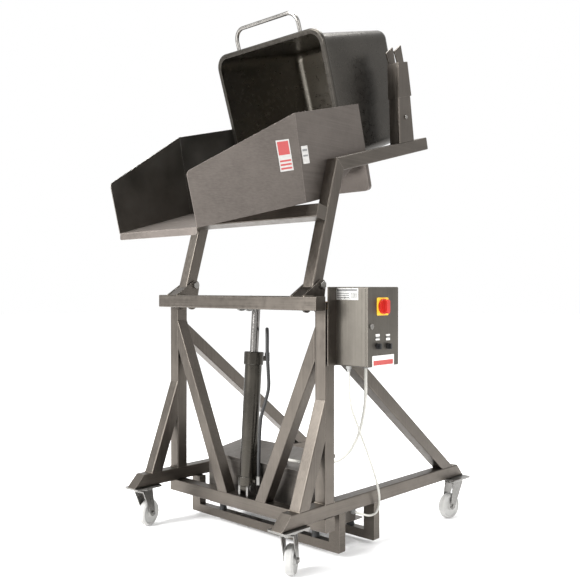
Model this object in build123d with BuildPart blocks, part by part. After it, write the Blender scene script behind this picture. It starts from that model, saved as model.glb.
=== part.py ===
from build123d import *
import math
import os

os.makedirs("parts", exist_ok=True)

# Mobile hydraulic tipper for 200 litre bins.  Millimetres, +Z up, X runs from the
# discharge side (-X) to the loading side (+X), the control box stands on the -Y side.
# The cradle is drawn raised, the way it stands while a bin is being emptied.

# ---------------------------------------------------------------- driving sizes
BASE_LENGTH = 1346.0        # side rails, measured along their lower edge
BASE_WIDTH = 1040.0         # over the outer faces of the rails
TUBE = 60.0                 # square tube used for the whole welded frame
WALL = 3.0                  # its wall
EDGE_R = 5.0                # rounded long edges of the square tube
RAIL_BOTTOM = 202.0         # height of the rails above the floor
RAIL_SLOPE = 56.0           # how far the sloped rail ends run out
POST_X = -382.0             # centre of the two posts
POST_TOP = 1107.0
HALF_W = BASE_WIDTH / 2
INNER_W = HALF_W - TUBE
RAIL_TOP = RAIL_BOTTOM + TUBE
HALF_T = TUBE / 2

# braces
FRONT_BRACE_FOOT = -571.0   # front edge of the front brace on the rail
FRONT_BRACE_TOP = 698.0     # where that edge meets the post
REAR_BRACE_FOOT = 577.0     # rear edge of the rear brace on the rail
REAR_BRACE_TOP = 990.0
DIAGONAL_FOOT = 95.0        # inner edge of the diagonals on the lower cross-beam
DIAGONAL_TOP = 1004.0

# hangers for the power pack
HANGER_FRONT_X = -290.0
HANGER_REAR_X = -45.0
HANGER_DEPTH = 40.0
HANGER_LEG = 60.0
HANGER_BAR = 40.0
HANGER_HALF_W = 494.0
HANGER_BOTTOM = 21.0

# castors
CASTOR_PLATE_L = 150.0
CASTOR_PLATE_W = 104.0
CASTOR_PLATE_T = 8.0
CASTOR_X = 600.0
CASTOR_FRONT_Y = 490.0
CASTOR_REAR_Y = 512.0
CASTOR_TRAIL = 40.0
CASTORS = {                 # corner: x, y and the way its wheel trails, in degrees
    "front_near": (-CASTOR_X, -CASTOR_FRONT_Y, 30.0),
    "front_far": (-CASTOR_X, CASTOR_FRONT_Y, 16.0),
    "rear_near": (CASTOR_X, -CASTOR_REAR_Y, 172.0),
    "rear_far": (CASTOR_X, CASTOR_REAR_Y, 160.0),
}
WHEEL_D = 125.0
WHEEL_W = 38.0
HEAD_D = 74.0
CROWN_TOP = 184.0
CROWN_T = 8.0
FORK_T = 4.0
FORK_INNER_W = 48.0
AXLE_D = 12.0
KINGPIN_D = 16.0
BEARING_GAP = 0.05          # running clearance round a shaft
SIDE_GAP = 0.3              # play beside or under a part that turns
BOLT_D = 10.0
BOLT_HEAD_D = 17.0
BOLT_HEAD_T = 6.5

# power pack
PACK_FRONT = -311.0
PACK_REAR = -62.0
PACK_NEAR = -400.0          # near end of the low step beside the hood
HOOD_NEAR = -272.0          # near end of the hood's tall part
PACK_FAR = 338.0
PACK_BOTTOM = 100.0
PACK_TOP_FRONT = 348.0
PACK_TOP_REAR = 384.0
STEP_TOP = 185.0
SHEET = 3.0

# hydraulic cylinder
PIN_BASE_X = -367.0
PIN_BASE_Z = 238.0
PIN_ROD_X = -307.0
PIN_ROD_Z = 1104.0
BARREL_D = 80.0
BARREL_BORE = 60.0
BARREL_START = 40.0         # along the axis, from the base pin
BARREL_END = 569.0
GLAND_D = 92.0
GLAND_L = 62.0
ROD_D = 40.0
PIN_D = 25.0
EYE_W = 40.0
EYE_D = 56.0
ROD_EYE_D = 44.0
CHEEK_T = 12.0

# tipping axis
AXIS_X = POST_X
AXIS_Z = 1088.0
SHAFT_D = 36.0
BUSH_D = 44.0
BEAM_FRONT = -479.0         # front face of the torque beam
BEAM_BOTTOM = 1072.0
BEAM_HALF_L = 526.0

# cradle, in the raised position
ARM_TILT = 16.0             # arms lean back from the vertical
RAIL_TILT = 15.0            # upper rails rise towards the loading side
CORNER_X = -228.0           # centre-lines of arm and rail meet here
CORNER_Z = 1712.0
UPPER_RAIL_L = 700.0
ARM_OUTER = 450.0
ARM_BOTTOM = 1141.0
LUG_T = 8.0
LUG_EYE_X = -361.0
LUG_EYE_Z = 1180.0
LUG_EYE_R = 24.0
LUG_BOLT_D = 20.0
CROSS_Z = 1484.0            # cross-beam, height of its centre on the arm's front face

# chute
CHUTE_Y = 385.0             # straight rear part of the side plates
LIP_Y = 263.0
LIP_X = -889.0
LIP_Z = 1404.0
LIP_DROP = 27.0
FOLD_TOP = (-459.0, 1908.0)
FOLD_FOOT = (-388.0, 1532.0)
FRONT_TOP = (-942.0, 1620.0)
REAR_TOP = (-30.0, 2019.0)
REAR_FOOT = (32.0, 1789.0)
FLOOR_REAR = (-300.0, 1554.5)

# bin
BIN_TILT = 18.0
BIN_X = -257.0              # upper edge of the rim
BIN_Z = 2337.0
BIN_W = 712.0
BIN_H = 650.0
BIN_DEPTH = 573.0
RIM = 22.0
RIM_R = 74.0
BIN_TAPER = 28.0            # each wall comes in by this much at the bottom
BIN_WALL = 2.5
HANDLE_HALF = 206.0
HANDLE_RISE = 96.0
HANDLE_D = 19.0
HANDLE_R = 58.0

# control box
BOX_X0 = -357.0
BOX_X1 = -147.0
BOX_BACK_Y = -534.0
BOX_FRONT_Y = -688.0
BOX_Z0 = 842.0
BOX_Z1 = 1171.0
BOX_SHEET = 2.0
DOOR_T = 11.0
DOOR_GAP = 1.0
BRACKET_T = 4.0

# cables and hoses
ARC_SHARE = 0.45            # share of the shorter run that an arc takes up
CABLE_THIN = 10.0
CABLE_THICK = 14.0
GLAND_H = 24.0
THIN_START = (-338.0, -585.0)           # x, y of the glands under the control box
THICK_START = (-192.0, -560.0)
THIN_END = (-88.0, PACK_NEAR, 145.0)    # feet of the glands on the power pack
THICK_END = (-272.0, -150.0, 376.0)
ENTRY_W = 36.0


def polar(length, angle):
    """Vector in the X-Z plane, the angle measured from +X towards +Z."""
    return (length * math.cos(math.radians(angle)), length * math.sin(math.radians(angle)))


def add2(a, b):
    return (a[0] + b[0], a[1] + b[1])


pieces = {}                 # finished sub-parts by name, written at the end


def save(solid, label):
    solid.label = label
    pieces[label] = solid


def group(*solids):
    """Separate solids kept side by side in one node."""
    return Compound([piece for item in solids for piece in item.solids()])


def member(face, outline, depth, wall=WALL):
    """Closed hollow section drawn on a plane; the first side of the outline runs along it."""
    start, end = outline[0], outline[1]
    along = face.x_dir * (end[0] - start[0]) + face.y_dir * (end[1] - start[1])
    with BuildPart() as tube:
        with BuildSketch(face):
            with BuildLine():
                Polyline(*outline, close=True)
            make_face()
        extrude(amount=depth)
        long_edges = tube.edges().filter_by(Axis((0, 0, 0), along))
        fillet(long_edges, EDGE_R)
        with BuildSketch(face.offset(wall)):
            with BuildLine():
                Polyline(*outline, close=True)
            make_face()
            offset(amount=-wall, mode=Mode.REPLACE)
        extrude(amount=depth - 2 * wall, mode=Mode.SUBTRACT)
    return tube.part


def side_member(outline, y_low, y_high):
    return member(Plane.XZ.offset(-y_high), outline, y_high - y_low)


def side_plate(outline, y_low, y_high, corner=0.0, holes=()):
    """Flat plate seen from the side, with round holes (x, z, diameter)."""
    with BuildPart() as plate:
        with BuildSketch(Plane.XZ.offset(-y_high)) as face:
            with BuildLine():
                Polyline(*outline, close=True)
            make_face()
            if corner:
                fillet(face.vertices(), corner)
            for x, z, diameter in holes:
                with Locations((x, z)):
                    Circle(diameter / 2, mode=Mode.SUBTRACT)
        extrude(amount=y_high - y_low)
    return plate.part


def block(x, y, z, corner=0.0):
    """Box between pairs of limits, with rounded upright edges."""
    with BuildPart() as body:
        with BuildSketch(Plane.XY.offset(z[0])) as foot:
            with Locations(((x[0] + x[1]) / 2, (y[0] + y[1]) / 2)):
                Rectangle(x[1] - x[0], y[1] - y[0])
            if corner:
                fillet(foot.vertices(), corner)
        extrude(amount=z[1] - z[0])
    return body.part


def round_bar(start, end, diameter, bore=0.0):
    """Round bar or tube between two points."""
    run = Vector(*end) - Vector(*start)
    with BuildPart() as bar:
        with BuildSketch(Plane(origin=start, z_dir=run)):
            Circle(diameter / 2)
            if bore:
                Circle(bore / 2, mode=Mode.SUBTRACT)
        extrude(amount=run.length)
    return bar.part


def cross_bar(x, z, y_low, y_high, diameter, bore=0.0):
    return round_bar((x, y_low, z), (x, y_high, z), diameter, bore)


def mirrored(solid):
    """The same piece on the other side of the machine."""
    return mirror(solid, about=Plane.XZ)


def pair(solid):
    """The piece on the near side and its mirror image, in one node."""
    return group(solid, mirrored(solid))


def panel(corners, thickness, radius=0.0, rounded=()):
    """Flat sheet through points in space; its normal follows their order."""
    points = [Vector(*corner) for corner in corners]
    x_dir = (points[1] - points[0]).normalized()
    normal = x_dir.cross(points[-1] - points[0]).normalized()
    face = Plane(origin=points[0], x_dir=x_dir, z_dir=normal)
    flat = [face.to_local_coords(point) for point in points]
    with BuildPart() as sheet:
        with BuildSketch(face):
            with BuildLine():
                Polyline(*[(point.X, point.Y) for point in flat], close=True)
            make_face()
        extrude(amount=thickness)
        for index in rounded:
            corner = points[index] + normal * (thickness / 2)
            fillet(sheet.edges().filter_by(Axis((0, 0, 0), normal)).sort_by_distance(corner)[0], radius)
    return sheet.part


def hull_plate(circles, y_low, y_high, cuts=()):
    """Plate whose side view is the hull of circles (x, z, radius), with round holes."""
    with BuildPart() as plate:
        with BuildSketch(Plane.XZ.offset(-y_high)) as face:
            for x, z, radius in circles:
                with Locations((x, z)):
                    Circle(radius)
            make_hull()
            for x, z, radius in cuts:
                with Locations((x, z)):
                    Circle(radius, mode=Mode.SUBTRACT)
        extrude(amount=y_high - y_low)
    return plate.part


def hexagon(origin, direction, across, height):
    """Hexagonal bolt head or nut, standing on origin."""
    with BuildPart() as head:
        with BuildSketch(Plane(origin=origin, z_dir=direction)):
            RegularPolygon(across / 2, 6, major_radius=False)
        extrude(amount=height)
    return head.part


def hose(name, route, diameter):
    """Tube of straight runs joined by arcs, each as large as its two runs allow."""
    points = [Vector(*point) for point in route]
    runs = [b - a for a, b in zip(points, points[1:])]
    radii = []
    for before, after in zip(runs, runs[1:]):
        turn = math.radians(before.get_angle(after))
        radii.append(ARC_SHARE * min(before.length, after.length) / math.tan(turn / 2))
    with BuildPart() as tube:
        with BuildLine() as path:
            FilletPolyline(*points, radius=radii)
        with BuildSketch(Plane(origin=points[0], z_dir=runs[0])):
            Circle(diameter / 2)
        sweep(path=path.wires()[0])
    length = path.wires()[0].length
    swept = tube.part.volume / (math.pi * diameter**2 / 4 * length)
    print(name, "length", round(length), "radii", [round(radius) for radius in radii], "volume", round(swept, 4))
    return tube.part


# ================================================================ base frame
near_rail = side_member(
    [
        (-BASE_LENGTH / 2, RAIL_BOTTOM),
        (BASE_LENGTH / 2, RAIL_BOTTOM),
        (BASE_LENGTH / 2 - RAIL_SLOPE, RAIL_TOP),
        (-BASE_LENGTH / 2 + RAIL_SLOPE, RAIL_TOP),
    ],
    -HALF_W,
    -INNER_W,
)
save(pair(near_rail), "side_rails")

POST_FRONT = POST_X - HALF_T
POST_BACK = POST_X + HALF_T
crossbeam = member(
    Plane.XY.offset(RAIL_BOTTOM - TUBE),
    [(POST_FRONT, -HALF_W), (POST_FRONT, HALF_W), (POST_BACK, HALF_W), (POST_BACK, -HALF_W)],
    TUBE,
)
save(crossbeam, "lower_crossbeam")

# posts, each with a welded bush for the tipping shaft
post_tube = side_member(
    [(POST_FRONT, RAIL_TOP), (POST_FRONT, POST_TOP), (POST_BACK, POST_TOP), (POST_BACK, RAIL_TOP)],
    -HALF_W,
    -INNER_W,
)
near_post = post_tube - cross_bar(AXIS_X, AXIS_Z, -HALF_W, -INNER_W, BUSH_D)
save(pair(near_post), "posts")
bush = cross_bar(AXIS_X, AXIS_Z, -HALF_W, -INNER_W, BUSH_D - SIDE_GAP / 10, SHAFT_D + 2 * BEARING_GAP)
save(pair(bush), "pivot_bushes")

# braces: each is cut off by the rail below it and by the post
front_run = Vector(POST_FRONT - FRONT_BRACE_FOOT, FRONT_BRACE_TOP - RAIL_TOP)
near_front_brace = side_member(
    [
        (FRONT_BRACE_FOOT, RAIL_TOP),
        (POST_FRONT, FRONT_BRACE_TOP),
        (POST_FRONT, FRONT_BRACE_TOP - TUBE * front_run.length / front_run.X),
        (FRONT_BRACE_FOOT + TUBE * front_run.length / front_run.Y, RAIL_TOP),
    ],
    -HALF_W,
    -INNER_W,
)
rear_run = Vector(REAR_BRACE_FOOT - POST_BACK, REAR_BRACE_TOP - RAIL_TOP)
near_rear_brace = side_member(
    [
        (POST_BACK, REAR_BRACE_TOP),
        (REAR_BRACE_FOOT, RAIL_TOP),
        (REAR_BRACE_FOOT - TUBE * rear_run.length / rear_run.Y, RAIL_TOP),
        (POST_BACK, REAR_BRACE_TOP - TUBE * rear_run.length / rear_run.X),
    ],
    -HALF_W,
    -INNER_W,
)
save(group(pair(near_front_brace), pair(near_rear_brace)), "side_braces")
diagonal_run = Vector(INNER_W - DIAGONAL_FOOT, DIAGONAL_TOP - RAIL_BOTTOM)
far_diagonal = member(
    Plane.YZ.offset(POST_FRONT),
    [
        (DIAGONAL_FOOT, RAIL_BOTTOM),
        (INNER_W, DIAGONAL_TOP),
        (INNER_W, DIAGONAL_TOP - TUBE * diagonal_run.length / diagonal_run.X),
        (DIAGONAL_FOOT + TUBE * diagonal_run.length / diagonal_run.Y, RAIL_BOTTOM),
    ],
    TUBE,
)
save(pair(far_diagonal), "diagonals")

# two U-shaped hangers under the rails carry the power pack
HANGER_INNER = HANGER_HALF_W - HANGER_LEG
HANGER_TOP = HANGER_BOTTOM + HANGER_BAR


def hanger(front_x):
    with BuildPart() as frame:
        with BuildSketch(Plane.YZ.offset(front_x)):
            with BuildLine():
                Polyline(
                    (-HANGER_HALF_W, HANGER_BOTTOM),
                    (HANGER_HALF_W, HANGER_BOTTOM),
                    (HANGER_HALF_W, RAIL_BOTTOM),
                    (HANGER_INNER, RAIL_BOTTOM),
                    (HANGER_INNER, HANGER_TOP),
                    (-HANGER_INNER, HANGER_TOP),
                    (-HANGER_INNER, RAIL_BOTTOM),
                    (-HANGER_HALF_W, RAIL_BOTTOM),
                    close=True,
                )
            make_face()
        extrude(amount=HANGER_DEPTH)
        chamfer(frame.edges().filter_by(Axis.X).group_by(Axis.Z)[0], EDGE_R)
    return frame.part


save(group(hanger(HANGER_FRONT_X), hanger(HANGER_REAR_X)), "pack_hangers")

# ================================================================ castors
PLATE_BOTTOM = RAIL_BOTTOM - CASTOR_PLATE_T
BOLT_INSET = 16.0
AXLE_Z = WHEEL_D / 2
HUB_D = 40.0
HUB_W = FORK_INNER_W - 2 * SIDE_GAP
FORK_OUTER = FORK_INNER_W / 2 + FORK_T


def at_castor(solid, corner):
    """Move a piece drawn over the origin, trailing along +X, to its corner."""
    x, y, turn = CASTORS[corner]
    return Pos(x, y, 0) * Rot(0, 0, turn) * solid


def mounting_plate(x, y):
    with BuildPart() as plate:
        with BuildSketch(Plane.XY.offset(PLATE_BOTTOM)) as face:
            with Locations((x, y)):
                Rectangle(CASTOR_PLATE_L, CASTOR_PLATE_W)
            fillet(face.vertices(), 8)
        extrude(amount=CASTOR_PLATE_T)
    return plate.part


def swivel_race(x, y):
    """Fixed upper race with the king pin that holds the fork's crown."""
    with BuildPart() as race:
        with BuildSketch(Plane.XY.offset(CROWN_TOP + SIDE_GAP)):
            with Locations((x, y)):
                Circle(HEAD_D / 2)
        extrude(amount=PLATE_BOTTOM - CROWN_TOP - SIDE_GAP)
        with BuildSketch(Plane.XY.offset(CROWN_TOP - CROWN_T - SIDE_GAP)):
            with Locations((x, y)):
                Circle(KINGPIN_D / 2)
        extrude(amount=CROWN_T + 2 * SIDE_GAP)
        with BuildSketch(Plane.XY.offset(CROWN_TOP - CROWN_T - SIDE_GAP)):
            with Locations((x, y)):
                RegularPolygon(KINGPIN_D, 6)
        extrude(amount=-KINGPIN_D / 2)
    return race.part


def plate_bolts(x, y):
    """Bolts whose heads show on the part of the plate that stands out from the rail."""
    outward = math.copysign(1, y)
    row = outward * (HALF_W + BOLT_INSET) if abs(y) + CASTOR_PLATE_W / 2 > HALF_W + 2 * BOLT_INSET else None
    inset = y + outward * (CASTOR_PLATE_W / 2 - BOLT_INSET / 2) if row is None else row
    heads = []
    for shift in (-1, 1):
        at = (x + shift * (CASTOR_PLATE_L / 2 - BOLT_INSET), inset, PLATE_BOTTOM)
        heads.append(hexagon(at, (0, 0, -1), BOLT_HEAD_D, BOLT_HEAD_T))
    return heads


plates = [mounting_plate(x, y) for x, y, turn in CASTORS.values()]
races = [swivel_race(x, y) for x, y, turn in CASTORS.values()]
save(group(*plates, *races), "castor_plates")
bolts = [head for x, y, turn in CASTORS.values() for head in plate_bolts(x, y)]
save(group(*bolts), "castor_bolts")


def castor_fork():
    with BuildPart() as fork:
        with BuildSketch(Plane.XZ.offset(-FORK_OUTER)):
            for x, z, radius in (
                (-HEAD_D / 2 + 4, CROWN_TOP - 4, 4),
                (HEAD_D / 2 - 4, CROWN_TOP - 4, 4),
                (CASTOR_TRAIL, AXLE_Z, HUB_D / 2 - 4),
            ):
                with Locations((x, z)):
                    Circle(radius)
            make_hull()
        extrude(amount=2 * FORK_OUTER)
        with BuildSketch(Plane.XY):
            Rectangle(4 * HEAD_D, FORK_INNER_W)
        extrude(amount=CROWN_TOP - CROWN_T, mode=Mode.SUBTRACT)
        with BuildSketch(Plane.XY.offset(CROWN_TOP - CROWN_T)):
            Circle(KINGPIN_D / 2 + BEARING_GAP)
        extrude(amount=CROWN_T, mode=Mode.SUBTRACT)
    bore = cross_bar(CASTOR_TRAIL, AXLE_Z, -FORK_OUTER, FORK_OUTER, AXLE_D)
    return fork.part - bore


def castor_axle():
    shank = cross_bar(CASTOR_TRAIL, AXLE_Z, -FORK_OUTER, FORK_OUTER, AXLE_D)
    head = hexagon((CASTOR_TRAIL, -FORK_OUTER, AXLE_Z), (0, -1, 0), 1.6 * AXLE_D, AXLE_D / 2)
    nut = hexagon((CASTOR_TRAIL, FORK_OUTER, AXLE_Z), (0, 1, 0), 1.6 * AXLE_D, AXLE_D / 2)
    return shank + head + nut


def castor_wheel():
    """Nylon wheel, turned: tread, dished sides and a hub that nearly fills the fork."""
    tread_r = WHEEL_D / 2
    with BuildPart() as wheel:
        with BuildSketch(Plane.XY) as half:
            with BuildLine():
                Polyline(
                    (AXLE_D / 2 + BEARING_GAP, -HUB_W / 2),
                    (HUB_D / 2, -HUB_W / 2),
                    (HUB_D / 2 + 3, -WHEEL_W / 2 + 6),
                    (tread_r - 14, -WHEEL_W / 2 + 4),
                    (tread_r - 10, -WHEEL_W / 2),
                    (tread_r - 6, -WHEEL_W / 2),
                    (tread_r, -WHEEL_W / 2 + 8),
                    (tread_r, WHEEL_W / 2 - 8),
                    (tread_r - 6, WHEEL_W / 2),
                    (tread_r - 10, WHEEL_W / 2),
                    (tread_r - 14, WHEEL_W / 2 - 4),
                    (HUB_D / 2 + 3, WHEEL_W / 2 - 6),
                    (HUB_D / 2, HUB_W / 2),
                    (AXLE_D / 2 + BEARING_GAP, HUB_W / 2),
                    close=True,
                )
            make_face()
        revolve(axis=Axis.Y)
    return Pos(CASTOR_TRAIL, 0, AXLE_Z) * wheel.part


fork_piece = castor_fork()
axle_piece = castor_axle()
wheel_piece = castor_wheel()
for corner in CASTORS:
    save(at_castor(group(fork_piece, axle_piece), corner), f"{corner}_castor_fork")
    save(at_castor(wheel_piece, corner), f"{corner}_castor_wheel")

# ================================================================ power pack
TRAY_T = SHEET
TRAY_TOP = PACK_BOTTOM + TRAY_T
TANK_W = 210.0
TANK_L = 250.0
TANK_H = 180.0
MOTOR_D = 150.0
MOTOR_L = 230.0
MOTOR_FOOT = 14.0
PUMP_L = 70.0
PACK_MARGIN = 16.0
LID_LIP = 18.0

save(
    block((PACK_FRONT, HANGER_REAR_X + HANGER_DEPTH), (PACK_NEAR, PACK_FAR), (PACK_BOTTOM, TRAY_TOP), 8),
    "pack_tray",
)


def rubber_mount(x, y):
    """Rubber buffer between hanger and tray, waisted in the middle."""
    with BuildPart() as buffer:
        with BuildSketch(Plane.XZ) as half:
            with BuildLine():
                Polyline(
                    (0, HANGER_TOP),
                    (HANGER_DEPTH / 2 - 1, HANGER_TOP),
                    (HANGER_DEPTH / 2 - 4, (HANGER_TOP + PACK_BOTTOM) / 2),
                    (HANGER_DEPTH / 2 - 1, PACK_BOTTOM),
                    (0, PACK_BOTTOM),
                    close=True,
                )
            make_face()
        revolve(axis=Axis.Z)
    return Pos(x, y, 0) * buffer.part


MOUNT_INSET = 60.0
mount_rows = [HANGER_FRONT_X + HANGER_DEPTH / 2, HANGER_REAR_X + HANGER_DEPTH / 2]
mount_columns = [PACK_NEAR + MOUNT_INSET, PACK_FAR - MOUNT_INSET]
save(group(*[rubber_mount(x, y) for x in mount_rows for y in mount_columns]), "rubber_mounts")

TANK_X = PACK_FRONT + PACK_MARGIN
TANK_Y = HOOD_NEAR + PACK_MARGIN
with BuildPart() as oil_tank:
    with BuildSketch(Plane.XY.offset(TRAY_TOP)) as foot:
        with Locations((TANK_X + TANK_W / 2, TANK_Y + TANK_L / 2)):
            Rectangle(TANK_W, TANK_L)
        fillet(foot.vertices(), 12)
    extrude(amount=TANK_H)
    with BuildSketch(Plane.XY.offset(TRAY_TOP + TANK_H)):
        with Locations((TANK_X + TANK_W / 4, TANK_Y + TANK_L / 4)):
            Circle(24)
    extrude(amount=26)
    with BuildSketch(Plane.XY.offset(TRAY_TOP + SHEET)):
        with Locations((TANK_X + TANK_W / 2, TANK_Y + TANK_L / 2)):
            RectangleRounded(TANK_W - 2 * SHEET, TANK_L - 2 * SHEET, 9)
    extrude(amount=TANK_H - 2 * SHEET, mode=Mode.SUBTRACT)
save(oil_tank.part, "oil_tank")

MOTOR_X = TANK_X + TANK_W / 2
MOTOR_Z = TRAY_TOP + MOTOR_FOOT + MOTOR_D / 2
PUMP_Y = TANK_Y + TANK_L
MOTOR_Y = PUMP_Y + PUMP_L
pump_body = block(
    (MOTOR_X - PUMP_L, MOTOR_X + PUMP_L), (PUMP_Y, MOTOR_Y), (TRAY_TOP, MOTOR_Z + PUMP_L), PACK_MARGIN / 4
)
valve = block(
    (MOTOR_X - PUMP_L / 2, MOTOR_X + PUMP_L / 2),
    (PUMP_Y + 4, MOTOR_Y - 4),
    (MOTOR_Z + PUMP_L, MOTOR_Z + 1.7 * PUMP_L),
    PACK_MARGIN / 4,
)
save(group(pump_body, valve), "pump_and_valves")

with BuildPart() as pump_motor:
    with BuildSketch(Plane.XZ.offset(-MOTOR_Y - MOTOR_L)):
        with Locations((MOTOR_X, MOTOR_Z)):
            Circle(MOTOR_D / 2)
    extrude(amount=MOTOR_L)
    with BuildSketch(Plane.XY.offset(TRAY_TOP)):
        with Locations((MOTOR_X, MOTOR_Y + MOTOR_L / 2)):
            Rectangle(MOTOR_D, MOTOR_L / 2)
    extrude(amount=MOTOR_D / 3)
    with BuildSketch(Plane.XY.offset(MOTOR_Z)):
        with Locations((MOTOR_X, MOTOR_Y + MOTOR_L / 3)):
            Rectangle(MOTOR_D / 2, MOTOR_D / 2)
    extrude(amount=MOTOR_D / 2 + 30)
save(pump_motor.part, "pump_motor")

# sheet-metal hood: four walls and a sloping lid with a turned-down lip
LID_RISE = PACK_TOP_REAR - PACK_TOP_FRONT
wall_outline = [
    (PACK_FRONT, TRAY_TOP),
    (PACK_REAR, TRAY_TOP),
    (PACK_REAR, PACK_TOP_REAR - SHEET),
    (PACK_FRONT, PACK_TOP_FRONT - SHEET),
]
inner_outline = [
    (PACK_FRONT + SHEET, TRAY_TOP - 1),
    (PACK_REAR - SHEET, TRAY_TOP - 1),
    (PACK_REAR - SHEET, PACK_TOP_REAR),
    (PACK_FRONT + SHEET, PACK_TOP_REAR),
]
hood = side_plate(wall_outline, HOOD_NEAR, PACK_FAR) - side_plate(
    inner_outline, HOOD_NEAR + SHEET, PACK_FAR - SHEET
)
step = block((PACK_FRONT, PACK_REAR), (PACK_NEAR, HOOD_NEAR + SHEET), (TRAY_TOP, STEP_TOP))
step_room = block(
    (PACK_FRONT + SHEET, PACK_REAR - SHEET),
    (PACK_NEAR + SHEET, HOOD_NEAR + 2 * SHEET),
    (TRAY_TOP - 1, STEP_TOP - SHEET),
)
save(hood + step - step_room, "pack_hood")

LID_GAP = 0.5
lid_slope = LID_RISE / (PACK_REAR - PACK_FRONT)
lid_front = PACK_FRONT - SHEET - LID_GAP
lid_rear = PACK_REAR + SHEET + LID_GAP


def lid_height(x, drop):
    return PACK_TOP_FRONT + (x - PACK_FRONT) * lid_slope - drop


lid_outer = [
    (lid_front, lid_height(lid_front, LID_LIP)),
    (lid_rear, lid_height(lid_rear, LID_LIP)),
    (lid_rear, lid_height(lid_rear, 0)),
    (lid_front, lid_height(lid_front, 0)),
]
lid_inner = [
    (lid_front + SHEET, lid_height(lid_front, 2 * LID_LIP)),
    (lid_rear - SHEET, lid_height(lid_rear, 2 * LID_LIP)),
    (lid_rear - SHEET, lid_height(lid_rear - SHEET, SHEET)),
    (lid_front + SHEET, lid_height(lid_front + SHEET, SHEET)),
]
lid = side_plate(lid_outer, HOOD_NEAR - SHEET - LID_GAP, PACK_FAR + SHEET + LID_GAP) - side_plate(
    lid_inner, HOOD_NEAR - LID_GAP, PACK_FAR + LID_GAP
)
cable_entry = block(
    (THICK_END[0] - ENTRY_W / 2, THICK_END[0] + ENTRY_W / 2),
    (THICK_END[1], THICK_END[1] + ENTRY_W),
    (lid_height(THICK_END[0] + ENTRY_W / 2, 0), THICK_END[2] + ENTRY_W / 2),
    2,
)
save(group(lid, cable_entry), "pack_lid")

# ================================================================ hydraulic cylinder
cylinder_run = Vector(PIN_ROD_X - PIN_BASE_X, 0, PIN_ROD_Z - PIN_BASE_Z)
CYLINDER_LEAN = math.degrees(math.atan2(cylinder_run.X, cylinder_run.Z))
PIN_DISTANCE = cylinder_run.length
BASE_CAP_END = BARREL_START + 12.0
GLAND_END = BARREL_END + GLAND_L
SPIGOT_L = 20.0
PISTON_L = 40.0
PISTON_START = BARREL_END - 80.0
PIN_HEAD_D = 36.0
PIN_HEAD_T = 5.0
HOSE_D = 16.0
HEX_AF = 22.0
PORT_D = 24.0

base_plane = Plane(
    origin=(PIN_BASE_X, 0, PIN_BASE_Z),
    x_dir=(cylinder_run.Z, 0, -cylinder_run.X),
    z_dir=cylinder_run,
)


def on_cylinder(along, out=0.0, angle=0.0):
    """Point at a distance along the cylinder's axis and out from it, the angle from +X to +Y."""
    turn = math.radians(angle)
    return base_plane.from_local_coords(Vector(out * math.cos(turn), out * math.sin(turn), along))


CLEVIS_INNER = EYE_W / 2 + SIDE_GAP
CLEVIS_OUTER = CLEVIS_INNER + CHEEK_T


def clevis_plate(y_low):
    with BuildPart() as plate:
        with BuildSketch(Plane.XZ.offset(-y_low - CHEEK_T)):
            with Locations((PIN_BASE_X, PIN_BASE_Z)):
                Circle(EYE_D / 2)
            with Locations((PIN_BASE_X, (RAIL_BOTTOM + PIN_BASE_Z) / 2)):
                Rectangle(EYE_D, PIN_BASE_Z - RAIL_BOTTOM)
            with Locations((PIN_BASE_X, PIN_BASE_Z)):
                Circle(PIN_D / 2, mode=Mode.SUBTRACT)
        extrude(amount=CHEEK_T)
    return plate.part




def headed_pin(x, z, half_length):
    shank = cross_bar(x, z, -half_length, half_length, PIN_D)
    near_head = cross_bar(x, z, -half_length - PIN_HEAD_T, -half_length, PIN_HEAD_D)
    far_head = cross_bar(x, z, half_length, half_length + PIN_HEAD_T, PIN_HEAD_D)
    return shank + near_head + far_head


base_pin = headed_pin(PIN_BASE_X, PIN_BASE_Z, CLEVIS_OUTER)
save(group(clevis_plate(CLEVIS_INNER), clevis_plate(-CLEVIS_OUTER), base_pin), "cylinder_clevis")

PORT_ANGLE = -14.0
PORT_ALONG = BARREL_END
PORT_REACH = 60.0
BASE_PORT_ANGLE = -90.0
BASE_PORT_ALONG = 34.0
EYE_FLAT = 12.0
with BuildPart() as barrel:
    with BuildSketch(base_plane.offset(EYE_FLAT)):
        Circle(GLAND_D / 2)
    extrude(amount=BASE_CAP_END - EYE_FLAT)
    with BuildSketch(base_plane.offset(BASE_CAP_END)):
        Circle(BARREL_D / 2)
    extrude(amount=BARREL_END - BASE_CAP_END)
    with BuildSketch(base_plane.offset(BASE_CAP_END)):
        Circle(BARREL_BORE / 2)
    extrude(amount=BARREL_END - BASE_CAP_END, mode=Mode.SUBTRACT)
eye_clear = EYE_D / 2 + 4
cheek_room = cross_bar(PIN_BASE_X, PIN_BASE_Z, -GLAND_D, -EYE_W / 2, 2 * eye_clear)
eye = cross_bar(PIN_BASE_X, PIN_BASE_Z, -EYE_W / 2, EYE_W / 2, EYE_D)
bore = cross_bar(PIN_BASE_X, PIN_BASE_Z, -EYE_W / 2, EYE_W / 2, PIN_D + 2 * BEARING_GAP)
barrel_piece = barrel.part - cheek_room - mirrored(cheek_room) + eye - bore
base_port = round_bar(on_cylinder(BASE_PORT_ALONG), on_cylinder(BASE_PORT_ALONG, PORT_REACH, BASE_PORT_ANGLE), PORT_D)
barrel_piece = barrel_piece + (
    base_port
    - cross_bar(PIN_BASE_X, PIN_BASE_Z, -EYE_W / 2, EYE_W / 2, EYE_D)
    - round_bar(on_cylinder(0), on_cylinder(BASE_CAP_END + PORT_D), GLAND_D - 2)
)
save(barrel_piece, "cylinder_barrel")

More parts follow.
